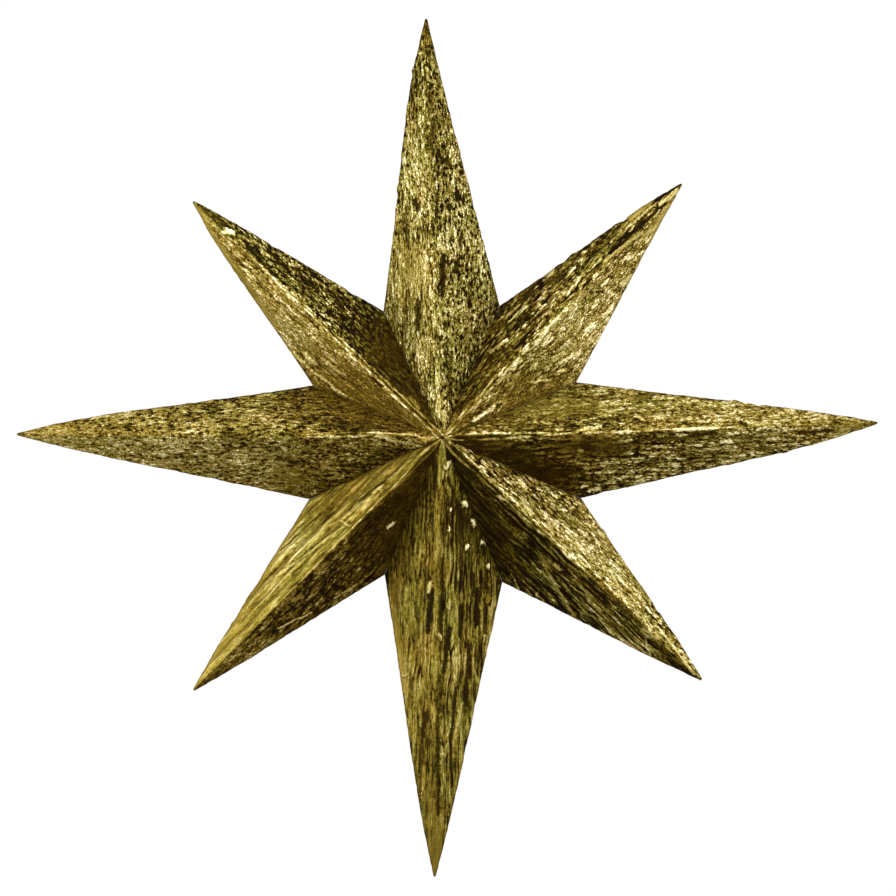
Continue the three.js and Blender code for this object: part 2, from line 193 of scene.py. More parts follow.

# Marks that show on their own, by ray: a slit or groove below 0, a worn pale fleck or ridge above it, the
# strongest of them near-white painted highlights of the foil. Each is a short stroke from one pixel of the
# photograph to another, with its width in pixels and its strength
MARKS = {
    "right": (
        (578, 431, 589, 428, 4, 0.8), (592, 429, 600, 426, 4, 0.94), (655, 418, 665, 417, 6, 0.81),
        (634, 415, 643, 420, 4, 0.68), (672, 430, 720, 427, 5, 0.74), (690, 435, 715, 433, 5, -0.5),
        (722, 441, 731, 441, 5, 1), (741, 423, 747, 425, 4, -0.5), (704, 450, 730, 447, 4, 0.54),
        (640, 452, 660, 453, 3, 0.61), (591, 490, 598, 488, 6, 1), (582, 486, 586, 486, 3, 1),
        (578, 451, 581, 451, 3, 0.7), (585, 468, 600, 466, 3, 0.47), (654, 469, 658, 470, 4, 0.68),
        (800, 433, 832, 430, 5, -0.5), (640, 440, 700, 438, 5, -0.3), (865, 425, 877, 423, 3, -0.3),
        (626, 440, 629, 439, 3, 0.81), (860, 421, 845, 418, 3, 0.54),
    ),
    "upper_right": (
        (610, 254, 622, 243, 7, -0.85), (622, 243, 664, 204, 4, -0.8), (676, 192, 661, 204, 6, 0.94),
        (655, 204, 628, 227, 3, 0.68), (642, 232, 603, 262, 4, 0.68), (668, 208, 650, 240, 6, 0.2),
        (646, 249, 651, 248, 3, -0.4), (636, 268, 642, 264, 6, 0.68), (622, 284, 631, 277, 6, 0.74),
        (597, 293, 602, 293, 3, -0.7), (540, 335, 572, 308, 7, 0.47), (508, 322, 526, 306, 4, 0.81),
        (490, 352, 507, 341, 4, 0.81), (552, 360, 562, 354, 6, 0.68), (514, 369, 520, 360, 6, 0.68),
        (530, 383, 548, 381, 3, 0.68), (557, 374, 563, 371, 4, 0.68), (582, 345, 590, 340, 8, 0.47),
        (475, 419, 495, 406, 5, 0.95), (678, 186, 655, 200, 4, -0.6), (520, 300, 532, 290, 8, -0.4),
        (548, 283, 560, 275, 8, -0.3), (498, 330, 512, 318, 6, -0.3),
    ),
    "top": (
        (436, 400, 432, 360, 3, -0.3), (449, 400, 452, 345, 4, -0.3), (443, 255, 443, 292, 6, -0.6),
        (457, 190, 458, 200, 6, -0.7), (449, 205, 449, 210, 5, -0.6), (462, 233, 460, 245, 5, -0.5),
        (459, 258, 455, 272, 6, -0.5), (415, 200, 418, 208, 6, -0.5), (433, 118, 430, 150, 9, -0.3),
        (445, 158, 448, 162, 8, -0.4), (438, 190, 437, 225, 4, -0.4), (440, 92, 442, 98, 6, 0.54),
        (469, 218, 470, 224, 5, 0.47), (406, 295, 407, 322, 3, -0.5), (418, 300, 417, 328, 5, -0.5),
        (426, 16, 426, 32, 4, -0.4), (441, 300, 442, 330, 6, 0.3), (430, 95, 432, 110, 7, -0.35),
        (450, 330, 452, 350, 6, 0.47),
    ),
    "upper_left": (
        (224, 230, 235, 234, 5, 1.5), (206, 213, 224, 230, 3, -0.3), (246, 245, 262, 262, 6, -0.65),
        (262, 262, 276, 276, 5, -0.5), (240, 240, 246, 246, 3, 0.54), (262, 252, 268, 256, 4, 0.68),
        (270, 252, 290, 272, 4, -0.5), (308, 282, 318, 292, 7, -0.5), (297, 268, 310, 285, 3, -0.4),
        (345, 294, 352, 300, 3, 0.54), (240, 235, 256, 243, 4, 0.47), (304, 353, 314, 363, 6, 0.74),
        (293, 353, 308, 367, 3, 0.68), (322, 358, 345, 376, 4, 0.61), (312, 371, 332, 385, 3, 0.68),
        (333, 388, 346, 397, 4, 0.81), (350, 398, 368, 408, 3, 0.47), (287, 338, 302, 350, 3, 0.3),
        (374, 380, 382, 387, 4, -0.55), (411, 399, 419, 408, 4, 0.4),
    ),
    "left": (
        (282, 448, 287, 450, 4, 0.8), (321, 466, 336, 460, 5, 0.47), (322, 443, 331, 441, 4, 0.54),
        (344, 446, 352, 446, 4, 0.54), (352, 430, 359, 430, 4, -0.7), (378, 437, 396, 442, 5, 0.74),
        (398, 442, 428, 446, 4, 0.68), (329, 478, 343, 477, 4, 0.54), (292, 474, 298, 474, 4, 0.54),
        (252, 428, 262, 427, 4, 0.47), (250, 441, 258, 438, 4, 0.47), (278, 458, 296, 462, 5, -0.4),
        (300, 434, 350, 433, 2, 0.47), (236, 445, 240, 446, 4, 0.68),
    ),
    "lower_left": (
        (283, 549, 322, 512, 2, -0.35), (276, 577, 342, 528, 3, 0.54), (346, 512, 376, 486, 2, -0.4),
        (300, 560, 330, 533, 2, -0.25), (360, 502, 386, 480, 3, -0.35), (389, 526, 393, 523, 4, 1.2),
        (276, 630, 310, 613, 2, 0.81), (334, 598, 356, 584, 2, 0.68), (330, 525, 352, 512, 3, 0.3),
        (374, 492, 382, 486, 4, 0.68), (340, 520, 349, 524, 4, 0.47), (308, 538, 322, 524, 3, 0.25),
        (292, 600, 303, 595, 5, 0.54), (366, 577, 371, 574, 3, 0.54),
    ),
    "bottom": (
        (441, 452, 440, 486, 5, 0.3), (432, 590, 428, 630, 6, -0.7), (441, 598, 441, 632, 6, -0.55),
        (461, 605, 460, 636, 5, -0.6), (477, 588, 477, 625, 6, -0.7), (450, 630, 443, 672, 5, -0.6),
        (441, 676, 440, 712, 5, -0.4), (468, 640, 467, 705, 4, -0.5), (456, 688, 450, 745, 5, -0.5),
        (438, 718, 438, 815, 5, -0.55), (425, 714, 422, 736, 6, -0.5), (485, 598, 484, 632, 4, -0.45),
        (421, 745, 420, 800, 4, -0.3), (440, 636, 441, 637, 4, 0.9), (430, 582, 429, 590, 4, 0.81),
        (450, 600, 449, 610, 4, 0.61), (402, 675, 408, 674, 2, 0.7), (462, 705, 452, 745, 3, 0.47),
        (446, 745, 445, 756, 5, 0.47), (421, 590, 418, 640, 3, -0.25), (450, 461, 446, 467, 4, 0.9),
        (436, 500, 437, 545, 5, 0.2), (441, 560, 441, 590, 4, -0.4), (464, 501, 466, 504, 5, 1.3),
        (451, 507, 450, 511, 3, 1), (472, 520, 474, 524, 4, 1.3), (467, 545, 466, 549, 4, 1.2),
        (449, 528, 448, 532, 3, 1), (488, 566, 488, 569, 4, 1), (482, 541, 484, 543, 5, 1.4),
    ),
    "lower_right": (
        (518, 478, 526, 489, 6, 0.81), (521, 498, 530, 512, 6, 0.74), (500, 497, 508, 500, 5, 0.68),
        (548, 525, 552, 532, 6, 0.68), (512, 574, 520, 590, 2, 0.74), (560, 560, 602, 612, 3, 0.47),
        (545, 566, 575, 616, 3, 0.47), (536, 592, 538, 596, 4, 0.9), (554, 563, 560, 568, 5, 0.68),
        (586, 570, 640, 625, 8, -0.4), (618, 602, 632, 618, 9, -0.5), (650, 640, 680, 668, 6, -0.5),
        (656, 625, 694, 674, 3, 0.81), (645, 640, 650, 655, 2, 0.81), (620, 540, 640, 580, 5, 0.3),
        (610, 570, 622, 596, 4, 0.61), (600, 560, 606, 570, 5, 0.54), (465, 455, 478, 468, 4, 0.3),
        (670, 661, 697, 679, 7, -0.8), (672, 645, 692, 671, 3, 0.9),
    ),
}

# Calm patches, by ray: their middle along the crest and aside from it, their half length and half width, how
# calm they are, their tone, and how amber they are
PATCHES = {
    "right": (
        (48, -4.5, 17, 5, 0.85, 0.19, 0.8), (38, 10, 21, 6.5, 0.6, 0.54, -0.4),
        (144, -1, 12, 4, 0.5, 0.38, 0.6),
    ),
    "upper_right": (
        (18, -5, 16, 3.5, 0.5, 0.42, 0.4), (107, -3.2, 13, 1.6, 0.9, 0.66, 0.3),
        (106, 4.2, 14, 2.0, 0.9, 0.62, 0.3),
    ),
    "top": ((58, 9, 20, 9, 0.45, 0.55, 0.0), (142, 0, 5, 3, 0.6, 0.4, 0.6)),
    "upper_left": (
        (33, -10.5, 10, 6, 0.85, 0.22, 0.8), (28, 8, 21, 6, 0.65, 0.4, 1.3),
        (105, -1.5, 14, 1.5, 0.9, 0.2, -0.4),
    ),
    "left": (
        (36, -9, 20, 5, 0.35, 0.42, 0.8), (132, 0, 22, 9, 0.5, 0.6, 0.7), (52, 14, 8, 6, 0.6, 0.36, 0.4),
    ),
    "lower_left": ((112, -4.4, 34, 4.4, 0.95, 0.59, 0.2), (119, 2.5, 12, 2.8, 0.8, 0.28, 0.6)),
    "bottom": ((152, 0, 26, 7, 0.95, 0.43, 0.2), (31, 9, 19, 8, 0.55, 0.19, -0.3)),
    "lower_right": ((118, -2, 9, 2.4, 0.7, 0.3, 0.4),),
}

# Calm bands along free edges, by ray and side: from and to where along the ray, their width, and their tone
BANDS = {
    ("upper_left", 1): (64, 122, 3.4, 0.58),
    ("bottom", -1): (56, 92, 3.4, 0.58),
    ("lower_left", -1): (50, 124, 2.6, 0.56),
    ("upper_right", -1): (94, 122, 2.0, 0.64),
}

# The upper left crest runs on over the peak: its direction, how far it reaches before it has gone, and how far
# beside its middle its two pale lines lie
PEAK_CREST = 3 * RAY_STEP + 1.7
PEAK_REACH = (3.2, 5.2)
PEAK_LINES = 0.95

# Small knocks in the free edges, by ray and side: where along the ray, how far out, and over what length
NICKS = {
    ("top", 1): ((129, 0.45, 1.0), (88, 0.5, 1.4)),
    ("upper_left", -1): ((89, -0.5, 1.6), (58, -0.5, 1.8)),
    ("upper_right", 1): ((99, -0.6, 1.4), (78, 0.5, 1.6), (74, -0.4, 1.4)),
    ("right", 1): ((103, 0.5, 1.4), (111, -0.5, 1.4)),
    ("right", -1): ((56, -0.4, 1.6), (120, 0.4, 1.8)),
    ("lower_right", 1): ((64, 0.4, 1.5), (96, -0.4, 1.5)),
}


# Numbers over a grid


def smooth_step(value, low, high):
    """0 below low, 1 above high, and 3t^2 - 2t^3 between them."""
    t = np.clip((value - low) / (high - low), 0, 1)
    return t * t * (3 - 2 * t)


def hump(distance, width, power=2):
    """1 where the distance is 0, and e^-(distance / width)^power away from there."""
    return np.exp(-((distance / width) ** power))


def waves(u, v, seed):
    """Gradient noise, about -1 to 1: each whole-number corner has a random slope, and the four corners' slopes
    are faded into each other by 6t^5 - 15t^4 + 10t^3."""
    rng = np.random.default_rng(seed)
    order = np.tile(rng.permutation(256), 2)
    turn = rng.uniform(0, 2 * np.pi, 256)
    iu, iv = np.floor(u).astype(int), np.floor(v).astype(int)
    fu, fv = u - iu, v - iv
    wu = fu**3 * (fu * (fu * 6 - 15) + 10)
    wv = fv**3 * (fv * (fv * 6 - 15) + 10)

    def corner(du, dv):
        angle = turn[order[(iu + du) % 256 + order[(iv + dv) % 256]] % 256]
        return np.cos(angle) * (fu - du) + np.sin(angle) * (fv - dv)

    low = corner(0, 0) * (1 - wu) + corner(1, 0) * wu
    high = corner(0, 1) * (1 - wu) + corner(1, 1) * wu
    return 1.5 * (low * (1 - wv) + high * wv)


def cells(u, v, seed):
    """One jittered point per unit cell: the distances to the nearest and the second nearest point, and a
    random number that belongs to the nearest."""
    rng = np.random.default_rng(seed)
    order = np.tile(rng.permutation(256), 2)
    jitter_u, jitter_v, lot = rng.uniform(0, 1, (3, 256))
    iu, iv = np.floor(u).astype(int), np.floor(v).astype(int)
    first = np.full(u.shape, 9.0)
    second = np.full(u.shape, 9.0)
    chosen = np.zeros(u.shape)
    for du in (-1, 0, 1):
        for dv in (-1, 0, 1):
            cell = order[(iu + du) % 256 + order[(iv + dv) % 256]] % 256
            gap = np.hypot(iu + du + jitter_u[cell] - u, iv + dv + jitter_v[cell] - v)
            nearer = gap < first
            second = np.where(nearer, first, np.minimum(second, gap))
            chosen = np.where(nearer, lot[cell], chosen)
            first = np.where(nearer, gap, first)
    return first, second, chosen


def stood_up(points):
    """Turns lying millimetres into the frame's metres: x stays, the viewer's z becomes -y, and y becomes z."""
    x, y, z = np.moveaxis(np.asarray(points, float), -1, 0)
    return np.stack([x, -z, y], -1) / 1000


# Meshes


def ring_quads(rows, count, joined=False):
    """The quads between neighbouring rings of count points, and between the last ring and the first if joined."""
    i, j = np.meshgrid(np.arange(rows if joined else rows - 1), np.arange(count), indexing="ij")
    start, end, after = i * count, (i + 1) % rows * count, (j + 1) % count
    return np.stack([start + j, start + after, end + after, end + j], -1).reshape(-1, 4)


def closed_loft(rings):
    """Vertices, quads and triangles of a tube whose rings are closed loops of equal length, each end closed by a
    fan of triangles about the mean of its ring. rings is rows x points x 3."""
    rows, count, _ = rings.shape
    points = np.concatenate([rings.reshape(-1, 3), [rings[0].mean(0), rings[-1].mean(0)]])
    j = np.arange(count)
    after = (j + 1) % count
    middle, last = np.full(count, rows * count), (rows - 1) * count
    fans = [np.stack([middle, after, j], -1), np.stack([middle + 1, last + j, last + after], -1)]
    return points, ring_quads(rows, count), np.concatenate(fans)


def joined_loft(rings):
    """The same for a tube that closes on itself: its last ring joins its first, so it has no fans."""
    return rings.reshape(-1, 3), ring_quads(*rings.shape[:2], joined=True), np.zeros((0, 3), int)


def volume_of(points, quads, triangles):
    """Sum of the signed tetrahedra between the origin and every triangle, each quad cut in two."""
    corners = points[np.concatenate([quads[:, [0, 1, 2]], quads[:, [0, 2, 3]], triangles])]
    return np.einsum("ij,ij->", corners[:, 0], np.cross(corners[:, 1], corners[:, 2])) / 6


def build_mesh(name, points, quads, triangles, sheet_place=None, values=None):
    """A mesh in metres from lying millimetres, turned so that its volume is positive. sheet_place gives each
    vertex its place on the flat sheet, for the UV map, and values are named numbers per vertex."""
    points = stood_up(points)
    if volume_of(points, quads, triangles) < 0:
        quads, triangles = quads[:, ::-1], triangles[:, ::-1]
    corners = np.concatenate([quads.ravel(), triangles.ravel()]).astype(np.int32)
    sizes = np.concatenate([np.full(len(quads), 4), np.full(len(triangles), 3)])
    starts = np.concatenate([[0], np.cumsum(sizes)[:-1]]).astype(np.int32)
    mesh = bpy.data.meshes.new(name)
    mesh.vertices.add(len(points))
    mesh.vertices.foreach_set("co", points.astype(np.float32).ravel())
    mesh.loops.add(len(corners))
    mesh.loops.foreach_set("vertex_index", corners)
    mesh.polygons.add(len(starts))
    mesh.polygons.foreach_set("loop_start", starts)
    mesh.update(calc_edges=True)
    mesh.validate()
    mesh.polygons.foreach_set("use_smooth", np.ones(len(mesh.polygons), bool))
    if sheet_place is not None:
        layer = mesh.uv_layers.new(name="Sheet")
        layer.uv.foreach_set("vector", sheet_place[corners].astype(np.float32).ravel())
    for label, numbers in (values or {}).items():
        attribute = mesh.attributes.new(label, "FLOAT", "POINT")
        attribute.data.foreach_set("value", numbers.astype(np.float32))
    return mesh


def add_piece(mesh, material, body, node):
    """Puts a finished mesh into the scene as a piece that rides on a body and stands for a CAD node."""
    piece = bpy.data.objects.new(mesh.name, mesh)
    bpy.context.scene.collection.objects.link(piece)
    mesh.materials.append(material)
    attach(piece, body)
    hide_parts(node)
    return piece


# Shader nodes


def set_socket(tree, socket, value):
    """Links a socket to another one, or sets its value."""
    if isinstance(value, bpy.types.NodeSocket):
        tree.links.new(value, socket)
    else:
        socket.default_value = value


def set_inputs(tree, node, **sockets):
    """Links or sets a node's named inputs. An underscore in a name stands for a space."""
    for key, value in sockets.items():
        label = key.replace("_", " ")
        set_socket(tree, next(s for s in node.inputs if s.name == label and s.enabled), value)


def add_node(tree, kind, settings=None, **sockets):
    """A node with its settings and its named inputs."""
    node = tree.nodes.new(kind)
    for key, value in (settings or {}).items():
        setattr(node, key, value)
    set_inputs(tree, node, **sockets)
    return node


def math_node(tree, operation, first, second=0.0, clamp=False):
    node = tree.nodes.new("ShaderNodeMath")
    node.operation = operation
    node.use_clamp = clamp
    set_socket(tree, node.inputs[0], first)
    set_socket(tree, node.inputs[1], second)
    return node.outputs[0]


def mix_colours(tree, share, first, second):
    node = tree.nodes.new("ShaderNodeMix")
    node.data_type = "RGBA"
    for socket, value in zip((node.inputs[0], node.inputs[6], node.inputs[7]), (share, first, second)):
        set_socket(tree, socket, value)
    return node.outputs[2]


def ranged(tree, value, from_low, from_high, to_low, to_high):
    """Maps a range of values onto another, and holds it there."""
    node = add_node(tree, "ShaderNodeMapRange", None, Value=value)
    for socket, number in zip(node.inputs[1:5], (from_low, from_high, to_low, to_high)):
        socket.default_value = number
    return node.outputs[0]


def new_group(name, inputs, outputs):
    """An empty shader group with a Coordinates input, numbered inputs with their defaults, and value outputs."""
    group = bpy.data.node_groups.new(name, "ShaderNodeTree")
    group.interface.new_socket("Coordinates", in_out="INPUT", socket_type="NodeSocketVector")
    for label, value in inputs:
        group.interface.new_socket(label, in_out="INPUT", socket_type="NodeSocketFloat").default_value = value
    for label in outputs:
        group.interface.new_socket(label, in_out="OUTPUT", socket_type="NodeSocketFloat")
    return group, group.nodes.new("NodeGroupInput"), group.nodes.new("NodeGroupOutput")


def drawn_out(group, start):
    """The group's coordinates, shortened along the first axis by Draw out."""
    apart = add_node(group, "ShaderNodeSeparateXYZ", None, Vector=start.outputs["Coordinates"])
    x, y, z = apart.outputs
    shorter = math_node(group, "DIVIDE", x, start.outputs["Draw out"])
    return add_node(group, "ShaderNodeCombineXYZ", None, X=shorter, Y=y, Z=z).outputs[0]


def drawn_grain():
    """Grain that several finishes share: two sizes of noise over given coordinates, drawn out along the first
    of them. It gives the grain as a value about 0.5 and as a height for a bump."""
    if "Drawn Grain" in bpy.data.node_groups:
        return bpy.data.node_groups["Drawn Grain"]
    inputs = (("Grains per metre", 1000.0), ("Draw out", 3.0), ("Contrast", 1.0))
    group, start, end = new_group("Drawn Grain", inputs, ("Value", "Height"))
    place = drawn_out(group, start)
    size = start.outputs["Grains per metre"]
    coarse = add_node(group, "ShaderNodeTexNoise", None, Vector=place, Scale=size, Detail=2.0, Roughness=0.5)
    finer = math_node(group, "MULTIPLY", size, 2.1)
    fine = add_node(group, "ShaderNodeTexNoise", None, Vector=place, Scale=finer, Detail=1.0)
    both = math_node(group, "ADD", coarse.outputs[0], fine.outputs[0])
    stronger = math_node(group, "MULTIPLY", math_node(group, "SUBTRACT", both, 1.0), start.outputs["Contrast"])
    group.links.new(math_node(group, "ADD", stronger, 0.5, clamp=True), end.inputs["Value"])
    group.links.new(both, end.inputs["Height"])
    return group


def cracked_grain():
    """Rounded grains with cracks between them, drawn out along the first coordinate. It gives the grain as a
    value from 0 in the cracks to 1 on the highest grains, and a number of each grain's own."""
    if "Cracked Grain" in bpy.data.node_groups:
        return bpy.data.node_groups["Cracked Grain"]
    inputs = (("Grains per metre", 1000.0), ("Draw out", 1.6))
    group, start, end = new_group("Cracked Grain", inputs, ("Value", "Lot"))
    place = drawn_out(group, start)
    size = start.outputs["Grains per metre"]
    bend = add_node(group, "ShaderNodeTexNoise", None, Vector=place, Scale=size, Detail=1.0).outputs["Color"]
    shift = add_node(group, "ShaderNodeVectorMath", {"operation": "SCALE"}, Vector=bend, Scale=0.0006)
    moved = add_node(group, "ShaderNodeVectorMath", {"operation": "ADD"})
    group.links.new(place, moved.inputs[0])
    group.links.new(shift.outputs[0], moved.inputs[1])
    grain = add_node(group, "ShaderNodeTexVoronoi", None, Vector=moved.outputs[0], Scale=size)
    lot = add_node(group, "ShaderNodeSeparateXYZ", None, Vector=grain.outputs["Color"]).outputs[0]
    high = ranged(group, grain.outputs["Distance"], 0.3, 0.72, 1, 0)
    group.links.new(math_node(group, "MULTIPLY", high, ranged(group, lot, 0, 1, 0.5, 1)), end.inputs["Value"])
    group.links.new(lot, end.inputs["Lot"])
    return group


def use_group(tree, group, place, **numbers):
    """Places a shared group with its coordinates and numbers."""
    node = add_node(tree, "ShaderNodeGroup", {"node_tree": group}, Coordinates=place)
    for label, value in numbers.items():
        node.inputs[label.replace("_", " ")].default_value = value
    return node


def new_material(name, view_colour):
    """An empty material with its Principled shader and output."""
    material = bpy.data.materials.new(name)
    material.use_nodes = True
    material.diffuse_color = (*view_colour[:3], 1)
    tree = material.node_tree
    tree.nodes.clear()
    shader = tree.nodes.new("ShaderNodeBsdfPrincipled")
    output = tree.nodes.new("ShaderNodeOutputMaterial")
    tree.links.new(shader.outputs[0], output.inputs[0])
    return material, tree, shader


def add_bump(tree, shader, height, strength, distance):
    bump = add_node(tree, "ShaderNodeBump", None, Height=height, Strength=strength, Distance=distance)
    set_inputs(tree, shader, Normal=bump.outputs[0])


def number_of(tree, label):
    """Reads one of the piece's own numbers per vertex."""
    return add_node(tree, "ShaderNodeAttribute", {"attribute_name": label}).outputs["Fac"]


# The gold by tone: where each step begins and ends, and its colour in green and in amber leaf
GOLD_STEPS = (
    (0.04, 0.32, "moss", "brown"),
    (0.24, 0.56, "olive", "amber"),
    (0.54, 0.86, "straw", "pale"),
    (0.84, 1.0, "glint", "glint"),
)


def gold_foil(settings):
    """Antique gold: the piece's own tone, with the finest grain added where it isn't calm, runs from the dark
    brown of stained cracks and of the painted shade in the grooves over olive and amber leaf to worn pale gold and
    painted glints. The dark brown is dull and the leaf is metal."""
    material, tree, shader = new_material("Crinkled antique gold", settings.olive)
    set_inputs(tree, shader, Specular_IOR_Level=0.04, Specular_Tint=settings.sheen)
    place = add_node(tree, "ShaderNodeUVMap", {"uv_map": "Sheet"}).outputs[0]
    grain = use_group(tree, drawn_grain(), place, Grains_per_metre=1100, Draw_out=3.0, Contrast=1.0)
    crack = use_group(tree, cracked_grain(), place, Grains_per_metre=1700, Draw_out=1.15)
    lively = math_node(tree, "SUBTRACT", 1.0, number_of(tree, "calm"), True)
    own_tone, long = number_of(tree, "tone"), number_of(tree, "drawn")
    kinds = (grain, settings.grain_contrast, 0.4, 1.0), (crack, settings.crack_contrast, 1.0, 0.4)
    added = []
    for kind, contrast, on_bark, on_fibres in kinds:
        centred = math_node(tree, "SUBTRACT", kind.outputs["Value"], 0.5)
        share = ranged(tree, long, 0, 1, on_bark * contrast, on_fibres * contrast)
        added.append(math_node(tree, "MULTIPLY", centred, share))
    fine = math_node(tree, "MULTIPLY", math_node(tree, "ADD", *added), lively)
    fine = math_node(tree, "MULTIPLY", fine, ranged(tree, own_tone, 0.05, 0.5, 0.3, 1.0))
    tone = math_node(tree, "ADD", own_tone, fine, True)
    own_hue = math_node(tree, "MULTIPLY", math_node(tree, "SUBTRACT", crack.outputs["Lot"], 0.5), 0.8)
    warmth = math_node(tree, "ADD", number_of(tree, "warmth"), math_node(tree, "MULTIPLY", own_hue, lively), True)
    colour = settings.stain_and_shade
    for start, end, green, amber in GOLD_STEPS:
        leaf = mix_colours(tree, warmth, getattr(settings, green), getattr(settings, amber))
        colour = mix_colours(tree, ranged(tree, tone, start, end, 0, 1), colour, leaf)
    metallic, rough = ranged(tree, tone, 0.15, 0.5, 0.0, 0.85), ranged(tree, tone, 0.1, 0.75, 0.62, 0.48)
    set_inputs(tree, shader, Base_Color=colour, Metallic=metallic, Roughness=rough)
    height = math_node(tree, "ADD", grain.outputs["Height"], crack.outputs["Value"])
    add_bump(tree, shader, math_node(tree, "MULTIPLY", height, lively), 0.8, settings.grain_depth)
    return material


def fibrous(name, colour, dark, fibres, rough, bump_depth):
    """Board, card and felt: short fibres lying every way, from two grains drawn out at right angles."""
    material, tree, shader = new_material(name, colour)
    place = add_node(tree, "ShaderNodeTexCoord").outputs["Object"]
    turned = add_node(tree, "ShaderNodeMapping", None, Vector=place, Rotation=(0.4, 0.95, 0.3)).outputs[0]
    numbers = {"Grains_per_metre": fibres, "Draw_out": 6, "Contrast": 1.6}
    layers = [use_group(tree, drawn_grain(), way, **numbers).outputs["Value"] for way in (place, turned)]
    both = math_node(tree, "MULTIPLY", *layers)
    cloud = add_node(tree, "ShaderNodeTexNoise", None, Vector=place, Scale=45.0, Detail=3.0).outputs[0]
    base = mix_colours(tree, ranged(tree, both, 0.08, 0.45, 0, 1), dark, colour)
    base = mix_colours(tree, ranged(tree, cloud, 0.35, 0.75, 0, 0.4), base, dark)
    rough = ranged(tree, both, 0.1, 0.4, rough, rough - 0.12)
    set_inputs(tree, shader, Base_Color=base, Roughness=rough, Specular_IOR_Level=0.2)
    add_bump(tree, shader, both, 0.7, bump_depth)
    return material


def plated_steel(settings):
    """Nickel-plated steel: fine drawn scratches, and a little dull tarnish in clouds."""
    material, tree, shader = new_material("Nickel-plated steel", settings.steel)
    place = add_node(tree, "ShaderNodeTexCoord").outputs["Object"]
    grain = use_group(tree, drawn_grain(), place, Grains_per_metre=1500, Draw_out=12, Contrast=0.8)
    cloud = add_node(tree, "ShaderNodeTexNoise", None, Vector=place, Scale=160.0, Detail=4.0).outputs[0]
    tarnish = ranged(tree, cloud, 0.45, 0.7, 0, 0.6)
    colour = mix_colours(tree, tarnish, settings.steel, settings.tarnish)
    scratched = ranged(tree, grain.outputs["Value"], 0, 1, 0.14, 0.3)
    rough = math_node(tree, "ADD", scratched, math_node(tree, "MULTIPLY", tarnish, 0.2))
    set_inputs(tree, shader, Base_Color=colour, Metallic=1, Roughness=rough)
    add_bump(tree, shader, grain.outputs["Height"], 0.3, 0.00004)
    return material


# The folded rays


def half_outline(notch, reach, swell):
    """One edge of a ray from notch to tip, seen from its crest, in plan: the straight line between them, moved
    out by swell x sin(pi share^skew). Distances along the crest and aside from it."""
    share = np.linspace(0, 1, 240)
    along = np.array([reach, TIP_HALF_WIDTH]) - notch
    outward = np.array([-along[1], along[0]]) / np.hypot(*along)
    offset = swell * np.sin(np.pi * share**SWELL_SKEW)
    line = notch + share[:, None] * along + offset[:, None] * outward
    return line[:, 0], line[:, 1]


def ray_plan(k):
    """A ray's angle, reach, and for its clockwise and anticlockwise side the notch's distance along the crest
    and aside from it, and the edge's two coordinates."""
    reach, lean, swells, notch_after = RAYS[NAMES[k]]
    notch_before = RAYS[NAMES[k - 1]][3]
    angle = k * RAY_STEP + lean
    sides = []
    for step, notch, swell in ((-0.5, notch_before, swells[0]), (0.5, notch_after, swells[1])):
        turn = math.radians(abs((k + step) * RAY_STEP + notch[0] - angle))
        far = NOTCH_REACH + notch[1]
        corner = np.array([far * math.cos(turn), far * math.sin(turn)])
        sides.append((corner, *half_outline(corner, reach, swell)))
    return angle, reach, sides


def ray_rows(reach, notches, step):
    """Distances of a ray's rows along its crest: even steps, with a row at each notch and one at the tip."""
    stops = sorted([PEAK_START, *notches, reach])
    spans = [(a, b) for a, b in zip(stops, stops[1:]) if b > a]
    parts = [np.linspace(a, b, max(2, int((b - a) / step) + 1), endpoint=False) for a, b in spans]
    return np.concatenate([*parts, [reach]])


def free_edge(k, sign, run, reach, edge_run, edge_side):
    """A free edge's distance from the crest at every row: the outline, with a small wobble and its own nicks."""
    flat, seed = np.zeros_like(run), EDGE_SEED + 10 * k + sign
    wobble = 0.22 * waves(run / 7, flat, seed) + 0.12 * waves(run / 2.2, flat, seed + 50)
    wobble = wobble * smooth_step(run, *NOTCH_END) * (1 - smooth_step(run, reach - 6, reach))
    for at, out, length in NICKS.get((NAMES[k], sign), ()):
        wobble = wobble + out * hump(run - at, length)
    return np.interp(run, edge_run, edge_side) + wobble


def half_front(k, sign, run, reach, side, columns):
    """One facet in plan and height. Before the notch it ends at the valley and after it at the free edge. Its
    height at (p, q) is rise x (1 - p / P), where P is how far out the outline lies in that direction, so that
    each facet is the fan from the star's peak to its outline. Near the crest |q| gives way to sqrt(q^2 + e^2)."""
    corner, edge_run, edge_side = side
    slope = corner[1] / corner[0]
    valley = run * slope - VALLEY_GAP / math.cos(math.atan(slope))
    beyond = run > corner[0]
    width = np.where(beyond, free_edge(k, sign, run, reach, edge_run, edge_side), np.maximum(valley, 0.02))
    width_of_row = width[:, None]
    aside = width_of_row * np.linspace(0, 1, columns + 1)
    eased = np.sqrt(aside**2 + (CREST_ROUNDING * np.minimum(1, width_of_row / 2)) ** 2)
    slopes = edge_side / edge_run
    order = np.argsort(slopes)
    outline_run = np.interp(eased / run[:, None], slopes[order], edge_run[order])
    height = np.maximum(APEX_RISE * (1 - run[:, None] / outline_run), 0)
    return width, aside, height, beyond


def both_halves(clockwise, anticlockwise):
    """Whole rows from a clockwise and an anticlockwise half, which share the crest's column."""
    return np.concatenate([clockwise[:, :0:-1], anticlockwise], 1)


